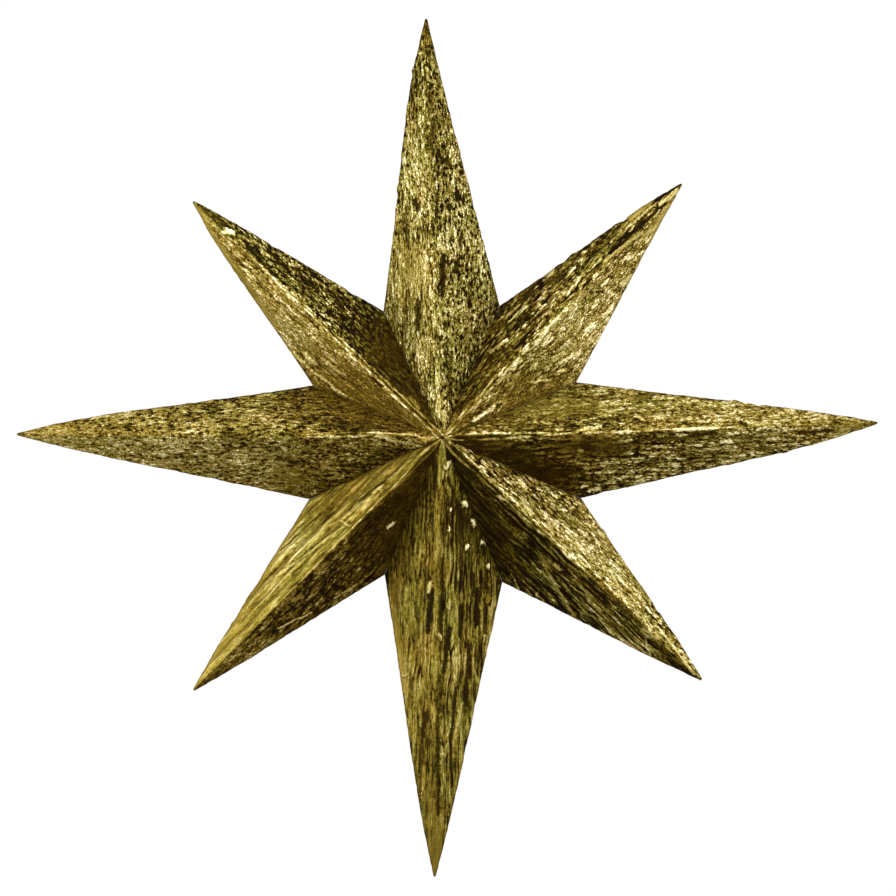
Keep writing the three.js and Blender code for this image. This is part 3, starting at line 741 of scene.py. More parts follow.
def ray_front(k, settings):
    """The smooth front of one ray as rows of places, with what the finish needs to know of each: its distance
    along the crest, across the flat sheet, to the edge or valley, and whether the edge there is free."""
    angle, reach, sides = ray_plan(k)
    columns = settings.facet_columns
    run = ray_rows(reach, [side[0][0] for side in sides], settings.row_step * 1000)
    halves = [half_front(k, sign, run, reach, side, columns) for sign, side in zip((-1, 1), sides)]
    widths, asides, heights, beyonds = zip(*halves)

    def everywhere(pair):
        """Two numbers per row, one for each facet, at every place of the row."""
        return both_halves(*(np.repeat(numbers[:, None], columns + 1, 1) for numbers in pair))

    across = both_halves(-asides[0], asides[1])
    height = both_halves(*heights)
    beside_crest = np.minimum(height[:, columns - 1], height[:, columns + 1])
    height[:, columns] = (beside_crest + height[:, columns]) / 2
    along = np.broadcast_to(run[:, None], across.shape)
    width = everywhere(widths)
    shift = 0.25 * waves(run / 14, np.zeros_like(run), BEND_SEED + k) * smooth_step(run, 2, 12)
    for place, amount, length in PUSHED.get(NAMES[k], ()):
        shift = shift + amount * hump(run - place, length / 2)
    base = np.stack([along, across + shift[:, None] * (1 - np.abs(across) / width), HEM_FRONT + height], -1)
    normal = np.cross(np.gradient(base, axis=0), np.gradient(base, axis=1))
    normal /= np.maximum(np.linalg.norm(normal, axis=-1, keepdims=True), 1e-9)
    return SimpleNamespace(
        k=k, name=NAMES[k], angle=angle, reach=reach, columns=columns, run=run, along=along, across=across,
        slant=np.sign(across) * np.hypot(across, height[:, columns : columns + 1] - height),
        to_edge=(width - np.abs(across)) * FACET_STRETCH, free=everywhere(beyonds), beyonds=beyonds,
        corners=[side[0] for side in sides], base=base, normal=normal,
    )


def on_ray(name, x, y):
    """Where a pixel of the photograph lies on a ray, along its crest and aside from it. Its line of sight is
    followed in three steps to the facet's height there, about rise x (1 - p / reach) - 0.93 |q|."""
    reach, lean = RAYS[name][:2]
    turn = math.radians(NAMES.index(name) * RAY_STEP + lean)
    far = CAMERA_REACH - HEM_FRONT
    height = 0
    for _ in range(3):
        nearer = (far - height) / far
        across = (x - PICTURE_MIDDLE) * PIXEL * nearer + CAMERA_ASIDE[0]
        up = (PICTURE_MIDDLE - y) * PIXEL * nearer + CAMERA_ASIDE[1]
        run = across * math.cos(turn) + up * math.sin(turn)
        aside = up * math.cos(turn) - across * math.sin(turn)
        height = max(0, APEX_RISE * (1 - run / reach - abs(aside) * 0.93 / APEX_RISE))
    return round(run), round(aside, 1)


def marks_on(front, seed):
    """How far each place is covered by the ray's own marks, their strength there, and the dark rim that pale
    ones have. A stroke covers by e^(-g^4), where g is the distance to it in half widths, on coordinates bent by
    small waves and with ragged waves of its own, and its rim lies about g = 1.4."""
    run = front.along + 0.8 * waves(front.along / 3.1, front.across / 1.6, seed)
    aside = front.across + 0.25 * waves(front.along / 2.3, front.across / 1.1, seed + 1)
    ragged = 0.92 + 0.6 * waves(front.along / 0.8, front.across / 0.55, seed + 2)
    covered, strength, rim = np.zeros((3, *run.shape))
    for from_x, from_y, to_x, to_y, pixels, amount in MARKS[front.name]:
        from_run, from_aside = on_ray(front.name, from_x, from_y)
        to_run, to_aside = on_ray(front.name, to_x, to_y)
        half_width = round(pixels * PIXEL / 2 * (SLIT_WIDTH if amount < 0 else GLINT_WIDTH), 2)
        along, across = to_run - from_run, to_aside - from_aside
        share = ((run - from_run) * along + (aside - from_aside) * across) / (along**2 + across**2 + 1e-6)
        share = np.clip(share, 0, 1)
        gap = np.hypot(run - from_run - share * along, aside - from_aside - share * across) / half_width * ragged
        cover = hump(gap, 1, 4)
        strength = np.where(cover > covered, amount, strength)
        covered = np.maximum(covered, cover)
        if amount > 0.3:
            rim = np.maximum(rim, min(amount, 0.8) * hump(gap - 1.4, 0.35))
    return covered, strength, rim * (1 - covered)


def calm_places(front):
    """Where the foil is calm, from 0 to 1, and the tone and the amber it has there: round patches that fade by
    e^-(u^2 + v^2)^1.3, and bands along the free edges."""
    calm, tone, amber = np.zeros((3, *front.along.shape))
    covers = []
    for run, aside, half_length, half_width, amount, level, hue in PATCHES[front.name]:
        reached = ((front.along - run) / half_length) ** 2 + ((front.across - aside) / half_width) ** 2
        covers.append((amount * hump(reached, 1, 1.3), level, hue))
    for sign in (-1, 1):
        if (front.name, sign) in BANDS:
            start, end, width, level = BANDS[front.name, sign]
            ends = smooth_step(front.along, start, start + 8) * (1 - smooth_step(front.along, end - 4, end))
            inside = np.where(front.across * sign > 0, hump(front.to_edge, width, 4), 0)
            covers.append((0.9 * inside * ends, level, 0.4))
    for cover, level, hue in covers:
        higher = cover > calm
        tone, amber = np.where(higher, level, tone), np.where(higher, hue, amber)
        calm = np.maximum(calm, cover)
    return calm, tone, amber


def worn_crest(front):
    """The worn crest: the relief and the tone it adds, and how calm it is. Two pale lines lie beside the crest,
    closer together with each millimetre from the centre, until they meet. Between them the sheet is creased."""
    strength, end, spread, met, thick, clumpy = CRESTS[front.name]
    run, slant, seed = front.along, front.slant, CREST_SEED + front.k
    apart = spread * np.clip(1 - (run / met) ** 2, 0, 1) * smooth_step(run, 0, 6)
    place = slant + 0.12 * waves(run / 6, 0 * run, seed + 40) * smooth_step(run, 4, 12)
    thick = thick * (1 + 0.45 * waves(run / 4, np.sign(slant) * 3.0, seed + 60))
    lines = hump(np.abs(place) - apart, thick)
    patchy = waves(run / 5, slant / 2.5, seed) + 0.4 * waves(run / 1.8, slant / 0.9, seed + 20)
    broken = (1 - clumpy) * smooth_step(patchy, -0.7, -0.1) + clumpy * smooth_step(patchy, -0.2, 0.3)
    fades = 1 - smooth_step(run, end - 14, end + 6)
    worn = strength * lines * broken * fades
    crease = hump(place, np.maximum(apart * 0.75, 0.12), 4) * smooth_step(apart, 0.15, 0.6)
    between = strength * crease * fades
    near, calm = hump(slant, 1.1), np.clip(worn + 0.6 * between, 0, 1)
    return near, 0.16 * worn - 0.2 * between, 0.55 * worn - 0.2 * between, calm


def over_the_peak(front, tone):
    """At the peak one crest runs straight over the others: the upper left crest's two pale lines, beside its own
    line, go on into the lower right ray for a few millimetres."""
    turn, crest = math.radians(front.angle), math.radians(PEAK_CREST)
    x = front.along * math.cos(turn) - front.across * math.sin(turn)
    y = front.along * math.sin(turn) + front.across * math.cos(turn)
    beside = np.abs(x * math.sin(crest) - y * math.cos(crest))
    strip = 0.5 + 0.4 * hump(beside - PEAK_LINES, 0.3) - 0.1 * hump(beside, 0.4)
    cover = (1 - smooth_step(np.hypot(x, y), *PEAK_REACH)) * (1 - smooth_step(beside, 1.2, 1.7))
    return tone * (1 - cover) + strip * cover


def foil_characters(front, seed):
    """The characters of the foil at every place of a front, before any facet takes its share of them. Waves and
    cells are laid out along the ray and across the flat sheet, most of them on coordinates bent by wide waves.
    Ridges, as in fibres, are 1 - |waves|. Grains, pits and flakes are cells of a size each, some left out."""

    def field(length, width, number, place=(front.along, front.slant)):
        """Waves of a length along the ray and a width across it, each number with draws of its own."""
        return waves(place[0] / length, place[1] / width, seed + number)

    bent = front.along + 2.2 * field(9, 5, 0), front.slant + 0.6 * field(7, 4, 1)
    dents = field(26, 12, 2) + 0.5 * field(11, 6, 3)
    patchy = smooth_step(field(13, 8, 4), -0.4, 0.4)
    grain = 0.6 * field(2.2, 1.1, 5, bent) + 0.5 * field(1.3, 0.75, 6)

    near, far, lot = cells(bent[0] / 2.7, bent[1] / 1.3, seed + 7)
    cracks = 1 - smooth_step(far - near, 0.04, 0.26)
    bark = (1 - smooth_step(near, 0.25, 0.7)) * (0.2 + 0.8 * lot) - 0.95 * cracks
    bark = bark * (0.4 + 0.6 * patchy)

    streak = 1 - 2.4 * np.abs(field(20, 2.0, 8, bent))
    thread = 1 - 2.4 * np.abs(field(11, 0.95, 9, bent))
    folds = field(26, 2.9, 20, bent) + 0.5 * field(14, 1.7, 21, bent)

    near, _, lot = cells(bent[0] / 2.3, bent[1] / 1.4, seed + 10)
    pits = smooth_step(lot + 0.4 * field(12, 9, 12), 0.4, 0.6)
    pits = pits * (1 - smooth_step(near + 0.12 * field(1.1, 0.8, 11), 0.2, 0.5))
    slits = smooth_step(1 - np.abs(field(24, 2.4, 13, bent)) * 7, 0.1, 0.6)
    slits = slits * smooth_step(field(13, 1.9, 14), -0.1, 0.2)

    edge = 0.35 * field(1.3, 0.7, 16)
    near, _, lot = cells(bent[0] / 4.4 + edge, bent[1] / 1.7 + edge, seed + 15)
    chosen = smooth_step(lot + 0.35 * field(13, 9, 17), 0.62, 0.72)
    flakes = chosen * (1 - smooth_step(near, 0.3 + 0.15 * lot, 0.42 + 0.15 * lot))
    flakes = flakes - 0.5 * chosen * hump(near - 0.52 - 0.15 * lot, 0.09)

    return SimpleNamespace(
        dents=dents, grain=grain, bark=bark, fibre=0.55 * streak + 0.45 * thread, thread=thread, folds=folds,
        pits=pits, slits=slits, flakes=flakes, clouds=field(6, 4, 18),
        hue=0.5 * field(17, 9, 19) + 0.2 * field(6, 4, 22),
    )


def foil_finish(front, settings):
    """One ray's foil at every place of its front: the relief in millimetres, and the tone from 0, dark brown, to
    1, worn pale gold and painted glints, the warmth from green to amber and the calmness, each from 0 to 1.
    Grain, bark of rounded grains between cracks, ridged fibres, soft folds and raised flakes, less pits and slits,
    are added up in each facet's own shares. Each facet is darker or lighter by its own amounts from root to tip,
    partly its aged colour and partly painted light and shade. Near a valley painted shade takes over with a tone
    of its own, and in calm places and on marks a tone of their own takes over."""
    seed = FOIL_SEED * (front.k + 1)
    run, side = front.along, front.slant
    looks = LOOKS[front.name]
    share = {label: np.where(side < 0, *pair) for label, pair in zip(CHARACTERS, zip(*looks))}
    foil = foil_characters(front, seed)

    # Painted light and shade: each facet is darker or lighter by its own amounts at root, middle and tip, partly
    # patina and partly the shade in the grooves and the light that reaches a facet or misses it
    patina_and_shading = np.where(side < 0, *(np.interp(run / front.reach, (0.1, 0.5, 0.9), look[DARKNESS]) for look in looks))
    # Painted shade in the grooves near the centre: along each valley the tone is pulled to the facet's dark sunk
    # tone, its crinkle is stilled and its hue warmed
    to_valley = np.where(run < NOTCH_END[1], front.to_edge, 99)
    valley_shade = hump(to_valley, 2 + 13 * share["valley_shade"], 3) * (1 - smooth_step(run, 38, 60))
    still = valley_shade * share["still"]
    base = 0.5 - patina_and_shading
    base = base + 0.85 * valley_shade * (share["sunk"] - base)
    darker = np.clip(0.5 - base, 0, 1)

    low = 0.11 * share["grain"] * foil.grain + 0.42 * share["bark"] * foil.bark
    low = low + 0.34 * share["fibre"] * foil.fibre
    low = low - 0.6 * share["pits"] * foil.pits - 0.7 * share["slits"] * foil.slits
    crinkle = low + (0.4 + 0.7 * darker) * share["flakes"] * foil.flakes
    mottle = 0.1 * foil.dents + 0.09 * foil.clouds + 0.16 * share["folds"] * foil.folds
    tone = base + crinkle * 1.15 * (1 - 0.85 * still) * (1 + 1.2 * darker) + mottle * (1 - 0.6 * valley_shade)
    calm, calm_tone, calm_amber = calm_places(front)
    tone = tone + calm * (calm_tone + 0.6 * (1 - calm) * crinkle + 0.08 * foil.folds + 0.04 * foil.thread - tone)

    hue = 0.5 + 0.35 * share["amber"] + foil.hue + 0.4 * still
    hue = hue + np.minimum(1.3 * calm, 1) * (0.5 + 0.5 * calm_amber - hue)
    calm = np.maximum(np.maximum(calm, 0.75 * still), share["calm"])
    calm = np.maximum(calm, np.clip(0.8 * share["flakes"] * foil.flakes, 0, 0.6))
    calm = np.maximum(calm, np.clip(0.7 * share["bark"] * foil.bark, 0, 0.6))
    relief = settings.dent_depth * foil.dents + 0.3 * share["folds"] * foil.folds
    relief = relief + settings.crinkle_depth * crinkle * (1 - 0.85 * calm)

    covered, strength, rim = marks_on(front, seed + MARK_SEED)
    # Pale marks lift the tone towards the glint colour: worn flecks, and at the strongest painted highlights
    pale = strength > 0
    marked = np.where(pale, 0.55 + 0.45 * strength, 0.46 + 0.6 * strength)
    tone = tone + np.where(pale, np.clip(0.35 + 0.7 * strength, 0, 0.95), 0.9) * covered * (marked - tone)
    tone = tone - 0.3 * rim
    relief = relief + 0.4 * covered * strength
    calm = np.maximum(calm, covered * np.clip(np.abs(strength), 0, 0.7))
    drawn = np.clip(0.7 * share["fibre"] + 0.4 * share["folds"], 0, 1)
    return relief, tone, hue, calm, drawn


def finished_front(front, settings):
    """The front with its relief along its own normals, which fades out at valleys, tip and peak and halves at
    free edges, and its tone, warmth, calmness and how drawn out it is, with the worn crest added."""
    relief, tone, hue, calm, drawn = foil_finish(front, settings)
    at_edge = smooth_step(front.to_edge, 0.0, 1.6)
    fade = np.where(front.free, 0.35 + 0.65 * at_edge, at_edge)
    fade = fade * smooth_step(front.reach - front.along, 0.0, 5.0) * smooth_step(front.along, 0.5, 4.0)
    near, crest_relief, crest_tone, crest_calm = worn_crest(front)
    relief = relief * fade * (1 - 0.6 * near) + crest_relief * smooth_step(front.to_edge, 0, 0.6)
    rim = np.where(front.free, hump(front.to_edge, 0.45), 0)
    tone = over_the_peak(front, tone * (1 - 0.3 * near) + 0.3 * near * 0.45 + crest_tone) - 0.12 * rim
    place = front.base + front.normal * np.clip(relief, -0.6, 0.8)[..., None]
    return place, tone, hue + 0.3 * rim, np.maximum(calm, 0.7 * crest_calm), drawn


def edge_behind(front, sign, edge, beyond, corner):
    """Six points a row behind one edge. On a free edge: two round the folded rim, the hem's outer back, its inner
    back and front, and the foot of the sheet's inner face. At a valley they run down the sheet's cut face."""
    hem = HEM_WIDTH * smooth_step(front.run, corner[0], corner[0] + 9)
    half, level = np.abs(edge[:, 1]), edge[:, 2]
    back = np.full_like(half, HEM_BACK)
    hem_at = np.maximum(half - hem, np.minimum(0.15, half * 0.3))
    foot = np.maximum(half - 0.6, hem_at + 0.01)
    folded = [
        (half + 0.12, level - 0.2),
        (half + 0.12, level - 0.55),
        (half - 0.05, back),
        (hem_at, back),
        (hem_at, np.minimum(HEM_FRONT, level - 0.3)),
        (foot, np.minimum(HEM_FRONT, level - 0.25)),
    ]
    cut = [(half, level - SHEET_DROP * share) for share in (0.15, 0.35, 0.55, 0.7, 0.85, 1.0)]
    return [
        np.stack([front.run, sign * np.where(beyond, a, c), np.where(beyond, b, d)], -1)
        for (a, b), (c, d) in zip(folded, cut)
    ]


def folded_ray(k, settings):
    """One ray of folded foil card as a closed loft along its crest. Each row is a closed cross-section: the front
    from edge to edge over the crest, the folded rim, the hem behind it, and the sheet's inner face in straight
    lines up to its ridge under the crest."""
    front = ray_front(k, settings)
    place, tone, hue, calm, drawn = finished_front(front, settings)
    before, after = (
        edge_behind(front, sign, place[:, column], beyond, corner)
        for sign, column, beyond, corner in zip((-1, 1), (0, -1), front.beyonds, front.corners)
    )
    crest = place[:, front.columns, 2]
    ridge = np.maximum(crest - SHEET_DROP, np.maximum(after[-1][:, 2], before[-1][:, 2]) + 0.01)
    ridge = np.stack([front.run, np.zeros_like(crest), np.minimum(ridge, crest - 0.12)], -1)
    steps = (0.25, 0.5, 0.75)
    up = [after[-1] * (1 - share) + ridge * share for share in steps]
    down = [ridge * (1 - share) + before[-1] * share for share in steps]
    behind = np.stack([*after, *up, ridge, *down, *before[::-1]], 1)
    loop = np.concatenate([place, behind], 1)
    turn = math.radians(front.angle)
    along, aside = np.array([math.cos(turn), math.sin(turn)]), np.array([-math.sin(turn), math.cos(turn)])
    rings = np.concatenate([loop[..., :1] * along + loop[..., 1:2] * aside, loop[..., 2:]], -1)

    def per_vertex(numbers, unseen):
        """The front's numbers with one number for all that is behind, and the two ends' means."""
        rows = np.concatenate([numbers, np.full(behind.shape[:2], unseen)], 1)
        return np.clip(np.concatenate([rows.ravel(), [numbers[0].mean(), numbers[-1].mean()]]), 0, 1)

    onward = front.slant[:, -1:] + 0.5 * np.arange(1, behind.shape[1] + 1)
    flat_side = np.concatenate([front.slant, onward], 1) + 200 * k
    sheet_place = np.stack([np.repeat(front.run[:, None], loop.shape[1], 1), flat_side], -1).reshape(-1, 2) / 1000
    sheet_place = np.concatenate([sheet_place, sheet_place[:1], sheet_place[-1:]])
    values = {
        "tone": per_vertex(tone, 0.45), "warmth": per_vertex(hue, 0.5),
        "calm": per_vertex(calm, 0.2), "drawn": per_vertex(drawn, 0.5),
    }
    return build_mesh(f"foil_ray_{NAMES[k]}", *closed_loft(rings), sheet_place, values)


# Behind the star


def rounded_sections(half_width, half_height, radius):
    """Closed loops of rectangles with quarter-circle corners, about their middles, one for each half width."""
    angle = np.linspace(0, np.pi / 2, 5) + np.arange(4)[:, None] * np.pi / 2
    half, radius = half_width[:, None, None], radius[:, None, None]
    across = np.array([1, -1, -1, 1])[:, None] * (half - radius) + radius * np.cos(angle)
    up = np.array([1, 1, -1, -1])[:, None] * (half_height - radius) + radius * np.sin(angle)
    return across.reshape(len(half_width), -1), up.reshape(len(half_width), -1)


def even_line(points, count, closed=False):
    """A line of points laid out again at even distances along itself."""
    if closed:
        points = np.concatenate([points, points[:1]])
    length = np.concatenate([[0], np.cumsum(np.linalg.norm(np.diff(points, axis=0), axis=1))])
    at = np.linspace(0, length[-1], count, endpoint=not closed)
    return np.stack([np.interp(at, length, column) for column in points.T], -1)


def turned_piece(profile, centre, steps):
    """Rings of a profile of (radius, level) turned about an upright axis: x = r cos a, y = r sin a."""
    turn = np.linspace(0, 2 * np.pi, steps, endpoint=False)
    radius, level = np.asarray(profile).T[:, :, None]
    return np.stack([centre[0] + radius * np.cos(turn), centre[1] + radius * np.sin(turn), level + 0 * turn], -1)


def hanger_wire():
    """The ring as a round wire along a closed line: a straight bar in the knuckle, two bends, and half an oval
    below. Each ring of the tube lies across the line, wire radius x (cos, sin) in its normal and the level."""
    bend_level = PIVOT_REACH - RING_BEND
    arc = np.linspace(0, np.pi / 2, 24)[:, None]
    oval = np.linspace(0, np.pi, 120)[:, None]
    left_bend = [-RING_HALF_BAR, bend_level] + RING_BEND * np.hstack([-np.sin(arc), np.cos(arc)])
    bow = np.hstack([-(RING_HALF_BAR + RING_BEND) * np.cos(oval), -(RING_DROP - RING_BEND) * np.sin(oval)])
    right_bend = [RING_HALF_BAR, bend_level] + RING_BEND * np.hstack([np.cos(arc), np.sin(arc)])
    line = np.concatenate([[[0, PIVOT_REACH]], left_bend, [0, bend_level] + bow, right_bend])
    line = even_line(line, 220, closed=True)
    tangent = np.roll(line, -1, 0) - np.roll(line, 1, 0)
    tangent /= np.linalg.norm(tangent, axis=1, keepdims=True)
    across = np.stack([-tangent[:, 1], tangent[:, 0]], -1)
    turn = np.linspace(0, 2 * np.pi, 24, endpoint=False)
    plan = line[:, None] + WIRE_RADIUS * np.cos(turn)[None, :, None] * across[:, None]
    level = np.broadcast_to(PIVOT_LEVEL + WIRE_RADIUS * np.sin(turn), plan.shape[:2])
    return build_mesh("hanger_wire", *joined_loft(np.concatenate([plan, level[..., None]], -1)))


def hanger_strap():
    """The plate as a strap carried along its own middle line: straight up from its rounded nose, then round the
    bar by the wrap. Its section is a rectangle with rounded corners, narrowed to a half circle at the nose."""
    half_plate, middle = PLATE_WIDTH / 2, KNUCKLE_BORE + PLATE_THICKNESS / 2
    start = PIVOT_REACH - RIVET_DROP - half_plate
    angle = np.radians(np.linspace(90, 90 - KNUCKLE_WRAP, 72))[1:, None]
    curl = [PIVOT_REACH, PIVOT_LEVEL] + middle * np.hstack([np.cos(angle), np.sin(angle)])
    nose = start + half_plate * (1 - np.cos(np.linspace(0.06, np.pi / 2, 24)))
    up = np.concatenate([nose, np.linspace(nose[-1], PIVOT_REACH, 16)[1:]])
    line = np.concatenate([np.stack([up, np.full_like(up, PIVOT_LEVEL + middle)], -1), curl])
    tangent = np.gradient(line, axis=0)
    tangent /= np.linalg.norm(tangent, axis=1, keepdims=True)
    out = np.stack([-tangent[:, 1], tangent[:, 0]], -1)
    from_nose = np.clip(line[:, 0] - start, 0, half_plate)
    half_width = np.sqrt(np.maximum(half_plate**2 - (half_plate - from_nose) ** 2, 0.01))
    half_width[len(up) :] = half_plate
    across, thick = rounded_sections(half_width, PLATE_THICKNESS / 2, np.minimum(PLATE_ARRIS, half_width * 0.9))
    points = line[:, None] + out[:, None] * thick[..., None]
    return build_mesh("hanger_strap", *closed_loft(np.concatenate([across[..., None], points], -1)))


def domed_rivet():
    """The rivet as a turned profile: a low dome with a rounded rim, the shank, and the clinched end inside."""
    under_head = PLATE_BACK - SEAM
    dome = [(2.62 * math.sin(t), under_head - 0.12 - 0.78 * math.cos(t)) for t in np.linspace(0.02, 1.45, 18)]
    rim = [(2.66 + 0.14 * math.sin(t), under_head - 0.14 - 0.14 * math.cos(t)) for t in np.linspace(0.9, np.pi, 8)]
    shank = [(1.5, under_head), (1.5, 7.5)]
    clinch = [(2.3, 7.5), (2.4, 7.7), (2.2, 8.0), (1.6, 8.2), (1.0, 8.1), (0.8, 7.9), (0.8, 7.0)]
    rings = turned_piece([*dome, *rim, *shank, *clinch], (0, PIVOT_REACH - RIVET_DROP), 64)
    return build_mesh("domed_rivet", *closed_loft(rings))


def felt_pad(name, x, y):
    """A felt disc standing on the wall: rings of a turned profile with rounded rims, with small fibre lumps added
    to the radius and to the two faces."""
    flat, thick = PAD_RADIUS - PAD_LIP, PAD_THICKNESS
    corner = [(PAD_LIP * math.sin(c), PAD_LIP * math.cos(c)) for c in np.linspace(0, np.pi / 2, 7)]
    profile = [(r, 0.02) for r in (0.6, 1.8, 3.0, 4.2, 5.2)]
    profile += [(flat + sine, PAD_LIP - cosine) for sine, cosine in corner]
    profile += [(PAD_RADIUS, z) for z in (1.3, 1.9, 2.5)]
    profile += [(flat + cosine, thick - PAD_LIP + sine) for sine, cosine in corner]
    profile = np.array(profile + [(r, thick - 0.02) for r in (5.0, 3.8, 2.6, 1.2)])
    rings = turned_piece(profile, (0, 0), 96)
    around = np.arctan2(rings[..., 1], rings[..., 0]) * PAD_RADIUS
    level = np.cumsum(np.hypot(*np.diff(profile, axis=0, prepend=profile[:1]).T))[:, None] + 0 * around
    seed = PAD_SEED + int(abs(x) * 10 + abs(y))
    lumps = 0.016 * waves(around / 1.3, level / 0.8, seed) * (profile[:, :1] > 4)
    rings[..., :2] *= 1 + lumps[..., None]
    rings[..., 2] = np.clip(rings[..., 2] + 0.05 * waves(around / 2.1, level / 1.1, seed + 1), 0, thick)
    return build_mesh(name, *closed_loft(rings + [x, y, 0]))


def star_board():
    """The board as a stack of rings of the star's outline, drawn in towards the middle: its back, a softened
    arris, the cut side and the front. Faint waves of the pressed surface are added to the back's level."""
    edges = []
    for k in range(len(NAMES)):
        angle, _, sides = ray_plan(k)
        turn = math.radians(angle)
        for sign, (_, run, aside) in zip((-1, 1), sides):
            x = run * math.cos(turn) - sign * aside * math.sin(turn)
            y = run * math.sin(turn) + sign * aside * math.cos(turn)
            edges.append(np.stack([x, y], -1)[::-sign])
    outline = even_line(np.concatenate([edge[:-1:3] for edge in edges]), 1000, closed=True)
    share = 1 - BOARD_INSET / BOARD_MISS
    back, front = BOARD_BACK, BOARD_BACK + BOARD_THICKNESS
    quarter = [(1 - math.sin(t), 1 - math.cos(t)) for t in np.linspace(0, np.pi / 2, 4)]
    arris = [(share - BOARD_ARRIS * inward / BOARD_MISS, BOARD_ARRIS * down) for inward, down in quarter]
    rows = [(s, back) for s in np.linspace(0.02, share - 0.02, 26)]
    rows += [(s, back + down) for s, down in arris] + [(share, back + 0.8), (share, front - 0.7)]
    rows += [(s, front - down) for s, down in arris[::-1]] + [(0.5, front), (0.05, front)]
    scale, level = np.array(rows).T[:, :, None]
    plan = outline[None] * scale[..., None]
    x, y = plan[..., 0], plan[..., 1]
    pressed = 0.05 * waves(x / 9, y / 9, BOARD_SEED) + 0.04 * waves(x / 3, y / 3, BOARD_SEED + 1)
    on_back = np.where(level < back + 0.1, 1 - smooth_step(scale, share - 0.03, share), 0)
    level = level + np.abs(pressed) * on_back
    return build_mesh("star_board", *closed_loft(np.concatenate([plan, level[..., None]], -1)))


# Settings


def colour_property(name, description, default):
    rgba = (*default, 1.0)
    return bpy.props.FloatVectorProperty(
        name=name, description=description, default=rgba, subtype="COLOR", size=4, min=0, max=1
    )


def length_property(name, description, default, **limits):
    return bpy.props.FloatProperty(name=name, description=description, default=default, unit="LENGTH", **limits)


def number_property(name, description, default):
    return bpy.props.FloatProperty(name=name, description=description, default=default)


class FoilSettings(bpy.types.PropertyGroup):
    """The crinkled foil of the eight rays"""

    row_step: length_property("Row step", "Distance between two rows along a ray", 0.00036, min=0.0002)
    facet_columns: bpy.props.IntProperty(
        name="Facet columns", description="Columns across one facet", default=88, min=8, max=96
    )
    dent_depth: number_property("Dents", "Depth of the long dents, in millimetres", 0.3)
    crinkle_depth: number_property("Crinkle", "Height of a crinkle through all tones, in millimetres", 0.9)
    grain_depth: length_property("Fine grain", "Depth of the finest crinkle", 0.00015)
    grain_contrast: number_property("Drawn grain", "How far the finest drawn grain changes the tone", 1.5)
    crack_contrast: number_property("Cracked grain", "How far the finest cracked grain changes the tone", 0.9)
    # The darkest colour serves stained cracks and pits, and the painted shade of the grooves and darker facets
    stain_and_shade: colour_property("Stain", "The dark stain in cracks and hollows", (0.0085, 0.0035, 0.0002))
    brown: colour_property("Brown", "Thin amber leaf over the stain", (0.045, 0.023, 0.0009))
    moss: colour_property("Moss", "Thin green leaf over the stain", (0.038, 0.029, 0.002))
    olive: colour_property("Olive gold", "The leaf's main colour", (0.192, 0.163, 0.0215))
    amber: colour_property("Amber gold", "The leaf where it is thicker", (0.205, 0.131, 0.015))
    pale: colour_property("Pale gold", "Amber leaf on high grains", (0.468, 0.369, 0.133))
    straw: colour_property("Straw gold", "Olive leaf on high grains", (0.432, 0.378, 0.136))
    # The glint colour serves worn flakes and crests, and the painted highlights of the strongest pale marks
    glint: colour_property("Glint", "Worn flakes and crests", (0.86, 0.775, 0.48))
    sheen: colour_property("Sheen", "The tint of reflections at a glancing angle", (1.0, 0.86, 0.5))


class HangerSettings(bpy.types.PropertyGroup):
    """The plated steel hanger"""

    steel: colour_property("Steel", "Bright nickel plating", (0.33, 0.32, 0.3))
    tarnish: colour_property("Tarnish", "Dulled plating", (0.2, 0.175, 0.135))


class BackSettings(bpy.types.PropertyGroup):
    """The board, the patch and the felt pads"""

    board: colour_property("Board", "Grey-brown board", (0.3, 0.21, 0.125))
    board_dark: colour_property("Board fibres", "Darker fibres in the board", (0.17, 0.11, 0.06))
    patch: colour_property("Patch", "The card of the centre patch", (0.36, 0.27, 0.17))
    felt: colour_property("Felt", "The felt pads", (0.05, 0.042, 0.036))
    felt_dark: colour_property("Felt fibres", "Darker fibres in the felt", (0.018, 0.015, 0.013))


class StageSettings(bpy.types.PropertyGroup):
    """The camera, the lamps and the floor"""

    distance: length_property("Distance", "Camera to wall", 1.2)
    frame_width: length_property("Frame width", "Width of the picture at the hems", 0.3136)
    centre_x: length_property("Centre across", "Middle of the picture", 0.002)
    centre_z: length_property("Centre up", "Middle of the picture", -0.0035)
    ambient: number_property("Ambient", "Strength of the light from all around", 0.25)
    floor: colour_property("Floor", "The pale floor", (0.82, 0.81, 0.79))


SETTINGS = {
    "star_stage": StageSettings,
    "star_foil": FoilSettings,
    "star_back": BackSettings,
    "star_hanger": HangerSettings,
}

# The camera's sensor in millimetres, and the floor in metres
SENSOR_WIDTH = 36
FLOOR_RADIUS = 0.6
FLOOR_LEVEL = -0.25

# Soft boxes: name, place, width and height, watts
LAMPS = [
    ("Left soft box", (-1.1, -0.35, 0.1), (0.8, 0.8), 10),
    ("Right soft box", (1.1, -0.35, 0.1), (0.8, 0.8), 8),
    ("Top soft box", (0.0, -0.45, 1.1), (0.9, 0.7), 10),
    ("Front fill", (0.0, -1.6, 0.3), (1.2, 1.2), 4),
]


# The stage


def disc_mesh(name, radius, level, steps=64):
    """A flat round floor in metres: triangles about its middle out to the rim x = r cos a, y = r sin a."""
    turn = np.linspace(0, 2 * np.pi, steps, endpoint=False)
    rim = np.stack([radius * np.cos(turn), radius * np.sin(turn), np.full(steps, level)], -1)
    mesh = bpy.data.meshes.new(name)
    mesh.from_pydata([*rim.tolist(), (0, 0, level)], [], [(steps, j, (j + 1) % steps) for j in range(steps)])
    mesh.update()
    return mesh


